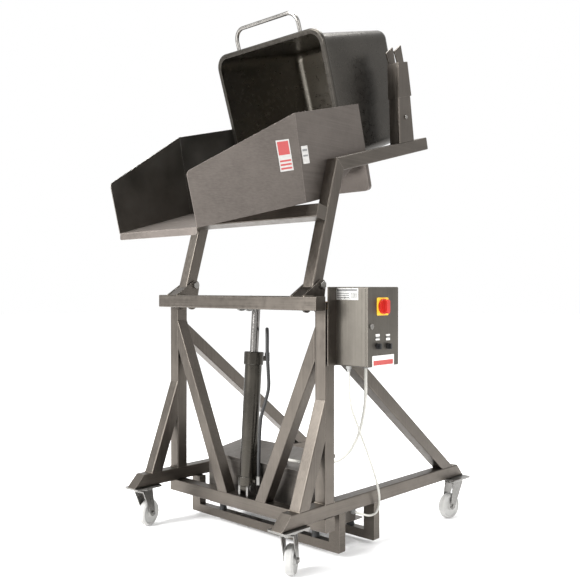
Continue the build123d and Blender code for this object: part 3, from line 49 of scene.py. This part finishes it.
MM = 0.001


def at(x, y, z):
    """A drawing point, in millimetres, as a place in the frame, in metres."""
    return Vector((x, y, z)) * MM + DRAWING_ORIGIN


# ---------------------------------------------------------------- camera, floor and light
CAMERA_PLACE = (-2.7403, -2.5658, 1.1660)
CAMERA_TURN = (89.86, 0.0, -46.52)
CAMERA_LENS = 48.47
SENSOR = 36.0


def add_camera():
    data = bpy.data.cameras.new("camera")
    data.lens = CAMERA_LENS
    data.sensor_width = SENSOR
    camera = bpy.data.objects.new("camera", data)
    camera.location = CAMERA_PLACE
    camera.rotation_euler = [math.radians(a) for a in CAMERA_TURN]
    bpy.context.scene.collection.objects.link(camera)
    bpy.context.scene.camera = camera


def add_light(name, place, target, size, power):
    data = bpy.data.lights.new(name, "AREA")
    data.shape = "RECTANGLE"
    data.size, data.size_y = size
    data.energy = power
    light = bpy.data.objects.new(name, data)
    light.location = place
    light.rotation_euler = (Vector(target) - Vector(place)).to_track_quat("-Z", "Y").to_euler()
    bpy.context.scene.collection.objects.link(light)


def add_world(colour, strength):
    world = bpy.data.worlds.new("studio")
    world.use_nodes = True
    background = world.node_tree.nodes["Background"]
    background.inputs["Color"].default_value = (*colour, 1.0)
    background.inputs["Strength"].default_value = strength
    bpy.context.scene.world = world


# ---------------------------------------------------------------- material building
BEVEL_SAMPLES = 4
SHADE_SAMPLES = 6
SHADE_REACH = 0.7           # metres over which a tub's walls darken each other
EDGE_FLAT = 0.995           # how alike a true and a bevelled normal are on a flat face, and at a sharp edge
EDGE_SHARP = 0.93


class Finish:
    """A Principled material with the few nodes that every finish here is made of."""

    def __init__(self, name, metallic, roughness):
        self.material = bpy.data.materials.new(name)
        self.material.use_nodes = True
        self.tree = self.material.node_tree
        self.shader = self.tree.nodes["Principled BSDF"]
        self.shader.inputs["Metallic"].default_value = metallic
        self.shader.inputs["Roughness"].default_value = roughness
        self.place = self.node("ShaderNodeTexCoord").outputs["Object"]

    def node(self, kind, **settings):
        made = self.tree.nodes.new(kind)
        for name, value in settings.items():
            setattr(made, name, value)
        return made

    def join(self, source, target):
        self.tree.links.new(source, target)

    def math(self, operation, first, second=None):
        made = self.node("ShaderNodeMath", operation=operation)
        for socket, value in zip(made.inputs, (first, second)):
            if value is None:
                continue
            if isinstance(value, (int, float)):
                socket.default_value = value
            else:
                self.join(value, socket)
        return made.outputs[0]

    def noise(self, scale, detail=4.0, roughness=0.55, stretch=(1.0, 1.0, 1.0), turn=(0.0, 0.0, 0.0)):
        mapping = self.node("ShaderNodeMapping")
        mapping.inputs["Scale"].default_value = stretch
        mapping.inputs["Rotation"].default_value = [math.radians(a) for a in turn]
        self.join(self.place, mapping.inputs["Vector"])
        made = self.node("ShaderNodeTexNoise")
        made.inputs["Scale"].default_value = scale
        made.inputs["Detail"].default_value = detail
        made.inputs["Roughness"].default_value = roughness
        self.join(mapping.outputs["Vector"], made.inputs["Vector"])
        return made.outputs["Fac"]

    def spread(self, value, low, high, to_low=0.0, to_high=1.0):
        """value, from low to high, laid over to_low to to_high."""
        made = self.node("ShaderNodeMapRange")
        self.join(value, made.inputs["Value"])
        limits = {"From Min": low, "From Max": high, "To Min": to_low, "To Max": to_high}
        for name, number in limits.items():
            made.inputs[name].default_value = number
        return made.outputs["Result"]

    def mix(self, amount, first, second):
        made = self.node("ShaderNodeMix", data_type="RGBA")
        for name, value in (("Factor", amount), ("A", first), ("B", second)):
            sockets = [s for s in made.inputs if s.name == name and s.enabled]
            if isinstance(value, (int, float)):
                sockets[0].default_value = value
            elif isinstance(value, tuple):
                sockets[0].default_value = (*value, 1.0)
            else:
                self.join(value, sockets[0])
        return [s for s in made.outputs if s.enabled][0]

    def edges(self, radius):
        """One along sharp edges, nought on flat faces."""
        bevel = self.node("ShaderNodeBevel", samples=BEVEL_SAMPLES)
        bevel.inputs["Radius"].default_value = radius
        geometry = self.node("ShaderNodeNewGeometry")
        dot = self.node("ShaderNodeVectorMath", operation="DOT_PRODUCT")
        self.join(bevel.outputs["Normal"], dot.inputs[0])
        self.join(geometry.outputs["Normal"], dot.inputs[1])
        return self.spread(dot.outputs["Value"], EDGE_FLAT, EDGE_SHARP)

    def bump(self, height, distance, strength=1.0, radius=None):
        made = self.node("ShaderNodeBump")
        made.inputs["Strength"].default_value = strength
        made.inputs["Distance"].default_value = distance
        self.join(height, made.inputs["Height"])
        if radius:
            bevel = self.node("ShaderNodeBevel", samples=BEVEL_SAMPLES)
            bevel.inputs["Radius"].default_value = radius
            self.join(bevel.outputs["Normal"], made.inputs["Normal"])
        self.join(made.outputs["Normal"], self.shader.inputs["Normal"])

    def axis(self, name):
        split = self.node("ShaderNodeSeparateXYZ")
        self.join(self.place, split.inputs[0])
        return split.outputs[name]

    def band(self, value, low, high):
        """One where value lies between low and high."""
        above = self.math("GREATER_THAN", value, low)
        return self.math("MULTIPLY", above, self.math("LESS_THAN", value, high))

    def colour(self, value):
        if isinstance(value, tuple):
            self.shader.inputs["Base Color"].default_value = (*value, 1.0)
        else:
            self.join(value, self.shader.inputs["Base Color"])

    def rough(self, value):
        self.join(value, self.shader.inputs["Roughness"])


# Grinding grain: the noise's scale along the strokes and across them.
GRAIN_ALONG = 2.0
GRAIN_ACROSS = 220.0
ALONG_X = (GRAIN_ALONG, GRAIN_ACROSS, GRAIN_ACROSS)
ALONG_Y = (GRAIN_ACROSS, GRAIN_ALONG, GRAIN_ACROSS)
ALONG_Z = (GRAIN_ACROSS, GRAIN_ACROSS, GRAIN_ALONG)
EVEN_GRAIN = (120.0, 120.0, 120.0)
GRAIN_DEPTH = 0.00012
PEEL_DEPTH = 0.00008
PRINT_DEPTH = 0.00005
EDGE_RADIUS = 0.0018        # how wide the painted edge highlights are
SOFT_CORNER = 0.0014        # radius that softens the shading at corners
PAINT_EDGE = 0.0012
PAINT_CORNER = 0.0008


def brushed_steel(name, colour, roughness=0.36, grain=ALONG_Z, tilt=0.0, inside=None):
    """Satin-ground stainless steel: fine grain, cloudy tone, handling marks, and a painted highlight along
    the edges.

    inside is the tone of faces that the piece itself shades, such as the inside of a tub."""
    finish = Finish(name, 1.0, roughness)
    lines = finish.noise(1.0, 3.0, 0.6, grain, (0.0, tilt, 0.0))
    clouds = finish.noise(5.0, 5.0, 0.6)
    marks = finish.noise(38.0, 6.0, 0.7)
    dark = tuple(c * 0.72 for c in colour)
    light = tuple(min(1.0, c * 1.3) for c in colour)
    tone = finish.mix(finish.spread(clouds, 0.3, 0.7), dark, colour)
    tone = finish.mix(finish.spread(lines, 0.35, 0.8, 0.0, 0.55), tone, light)
    tone = finish.mix(finish.spread(marks, 0.62, 0.75, 0.0, 0.18), tone, dark)
    if inside:
        shade = finish.node("ShaderNodeAmbientOcclusion", samples=SHADE_SAMPLES, only_local=True)
        shade.inputs["Distance"].default_value = SHADE_REACH
        tone = finish.mix(finish.spread(shade.outputs["AO"], 0.45, 0.95), inside, tone)
    # Painted highlight: sharp edges are brightened towards a pale tone, as if catching the light.
    wear_and_highlight = tuple(min(1.0, c * 2.3) for c in colour)
    tone = finish.mix(finish.math("MULTIPLY", finish.edges(EDGE_RADIUS), 0.8), tone, wear_and_highlight)
    finish.colour(tone)
    haze = finish.spread(marks, 0.3, 0.7, roughness - 0.05, roughness + 0.1)
    finish.rough(finish.math("ADD", haze, finish.spread(lines, 0.3, 0.7, -0.05, 0.05)))
    finish.bump(lines, GRAIN_DEPTH, 0.5, SOFT_CORNER)
    return finish.material


def painted(name, colour, roughness=0.4, wear_and_highlight=(0.3, 0.3, 0.3), metallic=0.0, peel=300.0):
    """Sprayed paint or plastic: slight orange peel, dusty tone, and thin wear on the edges."""
    finish = Finish(name, metallic, roughness)
    peel_noise = finish.noise(peel, 2.0)
    dust = finish.noise(9.0, 6.0, 0.65)
    dark = tuple(c * 0.75 for c in colour)
    tone = finish.mix(finish.spread(dust, 0.3, 0.7), dark, colour)
    chips = finish.spread(finish.noise(60.0, 5.0, 0.7), 0.5, 0.65)
    rubbed = finish.math("MULTIPLY", finish.edges(PAINT_EDGE), finish.math("MULTIPLY", chips, 0.6))
    tone = finish.mix(rubbed, tone, wear_and_highlight)
    finish.colour(tone)
    finish.rough(finish.spread(dust, 0.3, 0.7, roughness - 0.06, roughness + 0.1))
    finish.bump(peel_noise, PEEL_DEPTH, 0.5, PAINT_CORNER)
    return finish.material


STAINLESS = (0.118, 0.104, 0.090)
TUB_INSIDE = (0.20, 0.185, 0.16)
RAIL_TILT = -15.0           # degrees by which the chute's grain leans, and the arms'
ARM_TILT = -16.0

steel_across = brushed_steel("satin_steel_across", STAINLESS, grain=ALONG_Y)
steel_long = brushed_steel("satin_steel_long", STAINLESS, grain=ALONG_X)
steel_up = brushed_steel("satin_steel_up", STAINLESS, grain=ALONG_Z)
steel_lean = brushed_steel("satin_steel_lean", STAINLESS, grain=ALONG_Z, tilt=ARM_TILT)
steel_sheet = brushed_steel("satin_sheet", (0.150, 0.132, 0.119), 0.45, ALONG_X, RAIL_TILT)
steel_lid = brushed_steel("satin_lid", (0.17, 0.155, 0.14), 0.4, ALONG_Y)
# The bin's steel is darker than the frame's: painted shade, for the shade on the bin's near side.
steel_bin = brushed_steel("bin_steel", (0.060, 0.055, 0.048), 0.30, ALONG_Y, inside=TUB_INSIDE)
bright = brushed_steel("bright_steel", (0.26, 0.25, 0.235), 0.26, EVEN_GRAIN)
rod_steel = brushed_steel("rod_chrome", (0.24, 0.23, 0.22), 0.2, EVEN_GRAIN)
zinc = brushed_steel("zinc_plate", (0.22, 0.215, 0.205), 0.3, EVEN_GRAIN)
cylinder_paint = painted("cylinder_paint", (0.055, 0.050, 0.042), 0.26, (0.4, 0.4, 0.38), 0.9)
box_steel = brushed_steel("box_steel", (0.125, 0.115, 0.10), 0.42, ALONG_Z)
rubber = painted("black_rubber", (0.018, 0.018, 0.018), 0.6, (0.06, 0.06, 0.06), peel=700.0)
black_plastic = painted("black_plastic", (0.014, 0.014, 0.014), 0.35, (0.08, 0.08, 0.08), peel=900.0)
red_plastic = painted("red_plastic", (0.50, 0.018, 0.012), 0.3, (0.75, 0.2, 0.15), peel=900.0)
motor_paint = painted("motor_paint", (0.09, 0.12, 0.14), 0.45)
bronze = brushed_steel("bush_bronze", (0.5, 0.3, 0.13), 0.35, EVEN_GRAIN)
nylon = painted("nylon_wheel", (0.46, 0.455, 0.44), 0.38, (0.5, 0.5, 0.48), peel=500.0)
cable_sheath = painted("cable_sheath", (0.52, 0.51, 0.47), 0.45, (0.6, 0.6, 0.56), peel=900.0)
gland_plastic = painted("gland_plastic", (0.30, 0.30, 0.29), 0.45, (0.4, 0.4, 0.4), peel=900.0)


def far_plate_steel():
    """The far side plate: its inner face, which mirrors the dark of the tub, is darker than its outer one."""
    finish = Finish("satin_sheet_far", 1.0, 0.4)
    lines = finish.noise(1.0, 3.0, 0.6, ALONG_X, (0.0, RAIL_TILT, 0.0))
    clouds = finish.noise(5.0, 5.0, 0.6)
    outer = finish.mix(finish.spread(lines, 0.3, 0.8), (0.12, 0.108, 0.095), (0.17, 0.155, 0.14))
    inner = finish.mix(finish.spread(clouds, 0.3, 0.7), (0.085, 0.080, 0.072), (0.13, 0.122, 0.11))
    split = finish.node("ShaderNodeSeparateXYZ")
    finish.join(finish.node("ShaderNodeTexCoord").outputs["Normal"], split.inputs[0])
    facing_in = finish.math("LESS_THAN", split.outputs["Y"], -0.3)
    tone = finish.mix(facing_in, outer, inner)
    # Painted highlight: sharp edges are brightened towards a pale tone.
    tone = finish.mix(finish.math("MULTIPLY", finish.edges(0.002), 0.85), tone, (0.5, 0.48, 0.45))
    finish.colour(tone)
    finish.rough(finish.spread(clouds, 0.3, 0.7, 0.36, 0.48))
    finish.bump(lines, GRAIN_DEPTH, 0.5, SOFT_CORNER)
    return finish.material


# Where the door's plates stand: heights in the frame, and the label's band from side to side in the drawing.
ISOLATOR_ABOVE = 1.03
LABEL_BAND = (0.848, 0.868)
LABEL_SPAN = (-0.322, -0.188)
LEGEND_MARK = (0.958, 0.967)


def door_trim():
    """The door's plates in one finish, told apart by their height: isolator plate, legends and label."""
    finish = Finish("door_trim", 0.0, 0.4)
    height = finish.axis("Z")
    across = finish.axis("X")
    scuffs = finish.noise(30.0, 6.0, 0.7)
    wear_and_highlight = finish.spread(scuffs, 0.3, 0.7)
    white = finish.mix(wear_and_highlight, (0.62, 0.61, 0.58), (0.8, 0.79, 0.76))
    yellow = finish.mix(wear_and_highlight, (0.72, 0.42, 0.02), (0.85, 0.55, 0.04))
    red = finish.mix(wear_and_highlight, (0.36, 0.03, 0.03), (0.48, 0.08, 0.07))
    tone = finish.mix(finish.math("GREATER_THAN", height, ISOLATOR_ABOVE), white, yellow)
    label_low, label_high = (DRAWING_ORIGIN.x + x for x in LABEL_SPAN)
    label_field = finish.band(across, label_low, label_high)
    tone = finish.mix(finish.math("MULTIPLY", finish.band(height, *LABEL_BAND), label_field), tone, red)
    legend_mark = finish.math("MULTIPLY", finish.band(height, *LEGEND_MARK), 0.85)
    tone = finish.mix(legend_mark, tone, (0.03, 0.03, 0.03))
    finish.colour(tone)
    finish.rough(finish.spread(scuffs, 0.3, 0.7, 0.3, 0.5))
    finish.bump(scuffs, PRINT_DEPTH, 0.4, 0.0006)
    return finish.material


FINISHES = [
    (steel_long, "side_rails cradle_rails pack_hangers"),
    (steel_across, "lower_crossbeam torque_beam cradle_crossbeam pivot_shaft"),
    (steel_up, "posts side_braces diagonals control_bracket lugs latch_posts latch_heads"),
    (steel_lean, "cradle_arms"),
    (steel_sheet, "chute_near_side chute_floor rest_panel"),
    (far_plate_steel(), "chute_far_side"),
    (steel_lid, "pack_lid pack_hood pack_tray"),
    (steel_bin, "bin_body"),
    (bright, "bin_handle cradle_bolts door_hinges door_lock"),
    (zinc, "castor_plates castor_bolts lever_plates cylinder_clevis hose_fittings"),
    (cylinder_paint, "cylinder_barrel cylinder_gland"),
    (rod_steel, "piston_rod"),
    (box_steel, "enclosure control_door"),
    (door_trim(), "door_plates"),
    (rubber, "rubber_mounts hydraulic_hose"),
    (black_plastic, "left_selector right_selector"),
    (red_plastic, "isolator_knob"),
    (motor_paint, "pump_motor oil_tank pump_and_valves control_gear"),
    (bronze, "pivot_bushes"),
    (gland_plastic, "cable_glands"),
]
CORNERS = ("front_near", "front_far", "rear_near", "rear_far")


def dress(material, names):
    for name in names:
        for slot in nodes[name].material_slots:
            slot.material = material


for finish_material, names in FINISHES:
    dress(finish_material, names.split())
dress(zinc, [f"{corner}_castor_fork" for corner in CORNERS])
dress(nylon, [f"{corner}_castor_wheel" for corner in CORNERS])


# ---------------------------------------------------------------- the two cables
# Route points are the part's own, from the glands under the control box to those on the power pack.
THIN_ROUTE = [
    (-338, -585, 818), (-338, -585, 773), (-332, -583, 715), (-313, -580, 655), (-270, -575, 592),
    (-230, -570, 522), (-192, -566, 463), (-158, -562, 405), (-122, -556, 345), (-92, -550, 288),
    (-70, -545, 228), (-64, -530, 165), (-74, -495, 138), (-88, -452, 145), (-88, -424, 145),
]
THICK_ROUTE = [
    (-192, -560, 818), (-192, -560, 758), (-187, -557, 695), (-191, -549, 617), (-203, -532, 527),
    (-222, -500, 455), (-240, -462, 416), (-253, -424, 400), (-263, -386, 387), (-270, -340, 379),
    (-272, -290, 376), (-272, -174, 376),
]
THIN_D = 0.010
THICK_D = 0.014


def add_cable(name, route, diameter, node):
    points = [at(*p) for p in route]
    curve = bpy.data.curves.new(name, "CURVE")
    curve.dimensions = "3D"
    spline = curve.splines.new("NURBS")
    spline.points.add(len(points) - 1)
    for point, place in zip(spline.points, points):
        point.co = (*place, 1.0)
    spline.order_u = 3
    spline.use_endpoint_u = True
    spline.resolution_u = 14
    curve.bevel_depth = diameter / 2
    curve.bevel_resolution = 6
    curve.use_fill_caps = True
    curve.materials.append(cable_sheath)
    cable = bpy.data.objects.new(name, curve)
    bpy.context.scene.collection.objects.link(cable)
    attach(cable, "base")
    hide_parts(node)


add_cable("motor_cable", THIN_ROUTE, THIN_D, "thin_cable")
add_cable("valve_cable", THICK_ROUTE, THICK_D, "thick_cable")


# ---------------------------------------------------------------- stickers and plates
def sticker(name, ground, bands, roughness=0.35, metallic=0.0):
    """A printed label: a ground tone and plain bands, each (low u, high u, low v, high v, colour)."""
    finish = Finish(name, metallic, roughness)
    split = finish.node("ShaderNodeSeparateXYZ")
    finish.join(finish.node("ShaderNodeTexCoord").outputs["UV"], split.inputs[0])
    scuffs = finish.noise(60.0, 6.0, 0.7)
    soiled = tuple(c * 0.6 for c in ground)
    tone = finish.mix(finish.spread(scuffs, 0.35, 0.75, 0.0, 0.5), ground, soiled)
    for u_low, u_high, v_low, v_high, colour in bands:
        inside = finish.math(
            "MULTIPLY",
            finish.band(split.outputs["X"], u_low, u_high),
            finish.band(split.outputs["Y"], v_low, v_high),
        )
        tone = finish.mix(inside, tone, colour)
    finish.colour(tone)
    finish.rough(finish.spread(scuffs, 0.3, 0.7, roughness - 0.08, roughness + 0.12))
    finish.bump(scuffs, PRINT_DEPTH, 0.4)
    return finish.material


def add_plate(name, corners, thickness, outward, material, body, rim=0.0004):
    """A thin plate through four corners, given anticlockwise as seen, raised outward and softly edged."""
    mesh = bpy.data.meshes.new(name)
    made = bmesh.new()
    uv_layer = made.loops.layers.uv.new("UVMap")
    low = [made.verts.new(c) for c in corners]
    high = [made.verts.new(c + outward * thickness) for c in corners]
    top = made.faces.new(high)
    for loop, uv in zip(top.loops, ((0, 0), (1, 0), (1, 1), (0, 1))):
        loop[uv_layer].uv = uv
    made.faces.new(list(reversed(low)))
    for i in range(4):
        j = (i + 1) % 4
        made.faces.new((low[i], low[j], high[j], high[i]))
    bmesh.ops.recalc_face_normals(made, faces=made.faces)
    made.to_mesh(mesh)
    made.free()
    mesh.materials.append(material)
    plate = bpy.data.objects.new(name, mesh)
    bpy.context.scene.collection.objects.link(plate)
    soften = plate.modifiers.new("soft_rim", "BEVEL")
    soften.width = rim
    soften.segments = 2
    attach(plate, body)
    return plate


FOLD_TOP = Vector((-459.0, 1908.0))         # the side plate's fold line, as X and Z in the drawing
FOLD_FOOT = Vector((-388.0, 1532.0))
SPLAY = 0.236                               # how far it turns inward for each millimetre ahead of the fold
CHUTE_OUTER_Y = -390.0
LABEL_LIFT = 0.25
LABEL_T = 0.0006
RATING_T = 0.0008


def on_chute(x, z):
    """A point on the outer face of the near side plate, which turns inward forward of its fold."""
    fold = (FOLD_TOP - FOLD_FOOT).normalized()
    offset = Vector((x, z)) - FOLD_FOOT
    forward = max(0.0, -(offset.x * fold.y - offset.y * fold.x))
    return at(x, CHUTE_OUTER_Y + SPLAY * forward - LABEL_LIFT, z)


WHITE = (0.52, 0.51, 0.49)
RED = (0.42, 0.07, 0.07)
GREY = (0.18, 0.18, 0.18)
SILVER = (0.55, 0.55, 0.53)
PANEL = (0.35, 0.35, 0.34)
HAZARD_HEIGHTS = ((0.52, 0.95), (0.30, 0.36), (0.18, 0.24), (0.06, 0.12))
HAZARD_BANDS = [(0.08, 0.92, low, high, RED) for low, high in HAZARD_HEIGHTS]
NOTICE_BANDS = [(0.12, 0.88, low, high, GREY) for low, high in ((0.70, 0.82), (0.40, 0.50))]
RATING_BANDS = [(0.05, 0.95, 0.74, 0.92, GREY)]
RATING_BANDS += [(0.05, 0.60, low, high, GREY) for low, high in ((0.52, 0.60), (0.34, 0.42), (0.16, 0.24))]
RATING_BANDS += [(0.68, 0.95, 0.16, 0.60, PANEL)]

# Corners in the drawing's X and Z, anticlockwise from the lower front one.
HAZARD_CORNERS = ((-520, 1653), (-456, 1667), (-486, 1795), (-550, 1781))
NOTICE_CORNERS = ((-405, 1697), (-365, 1706), (-382, 1780), (-422, 1771))
SIDE_FACE = Vector((0.0, -1.0, 0.0))
FRONT_FACE = Vector((-1.0, 0.0, 0.0))
RATING_Y = (-531.0, -651.0)
RATING_Z = (1117.0, 1166.0)

hazard = sticker("hazard_sticker", WHITE, HAZARD_BANDS)
notice = sticker("notice_sticker", WHITE, NOTICE_BANDS)
rating = sticker("rating_plate_print", SILVER, RATING_BANDS, 0.3, 0.8)
for label, corners, print_finish in (
    ("hazard_label", HAZARD_CORNERS, hazard),
    ("notice_label", NOTICE_CORNERS, notice),
):
    places = [on_chute(*corner) for corner in corners]
    add_plate(label, places, LABEL_T, SIDE_FACE, print_finish, "cradle")

box_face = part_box("enclosure")[0][0]
rating_corners = [at(0, RATING_Y[i], RATING_Z[j]) for i, j in ((0, 0), (1, 0), (1, 1), (0, 1))]
for corner in rating_corners:
    corner.x = box_face
add_plate("rating_plate", rating_corners, RATING_T, FRONT_FACE, rating, "base")


# ---------------------------------------------------------------- weld beads
BEAD_R = 0.0028
BEAD_STEP = 0.0035
RIPPLE = 0.16
RIPPLE_TURN = 0.9           # share of half a wave from one step to the next
weld_steel = brushed_steel("weld_bead", (0.20, 0.175, 0.145), 0.38, EVEN_GRAIN)


def add_beads(name, body, runs):
    """Rippled fillet beads along straight runs, each (start, end) in drawing millimetres."""
    curve = bpy.data.curves.new(name, "CURVE")
    curve.dimensions = "3D"
    curve.bevel_depth = BEAD_R
    curve.bevel_resolution = 2
    curve.use_fill_caps = True
    curve.materials.append(weld_steel)
    for start, end in runs:
        first, last = at(*start), at(*end)
        count = max(3, round((last - first).length / BEAD_STEP))
        spline = curve.splines.new("POLY")
        spline.points.add(count)
        for i, point in enumerate(spline.points):
            point.co = (*first.lerp(last, i / count), 1.0)
            point.radius = 1.0 + RIPPLE * math.sin(i * math.pi * RIPPLE_TURN)
    beads = bpy.data.objects.new(name, curve)
    bpy.context.scene.collection.objects.link(beads)
    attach(beads, body)


RAIL_TOP = 262.0
RAIL_OUTER_Y = 520.0
RAIL_INNER_Y = 460.0
BASE_SEAMS = (-571.0, -412.0, -352.0, 577.0)        # X of the braces' and posts' edges on the rails
BEAM_TOP = 1132.0
BEAM_FRONT = -479.0
BEAM_BACK = -419.0
LUG_FACES = (382.0, 458.0)                          # Y of the lugs' free faces
SIDES = (-1, 1)

base_seams = [
    ((x, side * RAIL_INNER_Y, RAIL_TOP), (x, side * RAIL_OUTER_Y, RAIL_TOP))
    for side in SIDES
    for x in BASE_SEAMS
]
beam_seams = [
    ((BEAM_FRONT, side * y, BEAM_TOP), (BEAM_BACK, side * y, BEAM_TOP))
    for side in SIDES
    for y in LUG_FACES
]
add_beads("base_welds", "base", base_seams)
add_beads("beam_welds", "cradle", beam_seams)


# ---------------------------------------------------------------- the studio
FLOOR_HALF = 30.0
FLOOR_TONE = (0.92, 0.92, 0.92)
FLOOR_GLOW = 0.12
WHITE_LIGHT = (1.0, 1.0, 1.0)
MIDDLE_HEIGHT = 1.1
LIGHTS = [                  # name, place, target's height, size, power
    ("key", (-5.2, 1.6, 3.4), MIDDLE_HEIGHT, (2.0, 3.2), 620),
    ("top", (0.6, 0.2, 5.6), MIDDLE_HEIGHT + 0.1, (2.6, 2.6), 420),
    ("fill", (-1.2, -5.5, 3.2), MIDDLE_HEIGHT + 0.1, (2.5, 2.0), 90),
]


def add_floor():
    corners = [(-1, -1), (1, -1), (1, 1), (-1, 1)]
    mesh = bpy.data.meshes.new("floor")
    mesh.from_pydata([(x * FLOOR_HALF, y * FLOOR_HALF, 0) for x, y in corners], [], [(0, 1, 2, 3)])
    floor = bpy.data.objects.new("floor", mesh)
    bpy.context.scene.collection.objects.link(floor)
    pale = Finish("pale_floor", 0.0, 0.7)
    pale.colour(FLOOR_TONE)
    pale.shader.inputs["Emission Color"].default_value = (*WHITE_LIGHT, 1.0)
    pale.shader.inputs["Emission Strength"].default_value = FLOOR_GLOW
    mesh.materials.append(pale.material)


add_camera()
bpy.context.scene.view_settings.view_transform = "Standard"
add_world(WHITE_LIGHT, 1.0)
for light_name, light_place, target_height, light_size, power in LIGHTS:
    add_light(light_name, light_place, (0.0, 0.0, target_height), light_size, power)
add_floor()
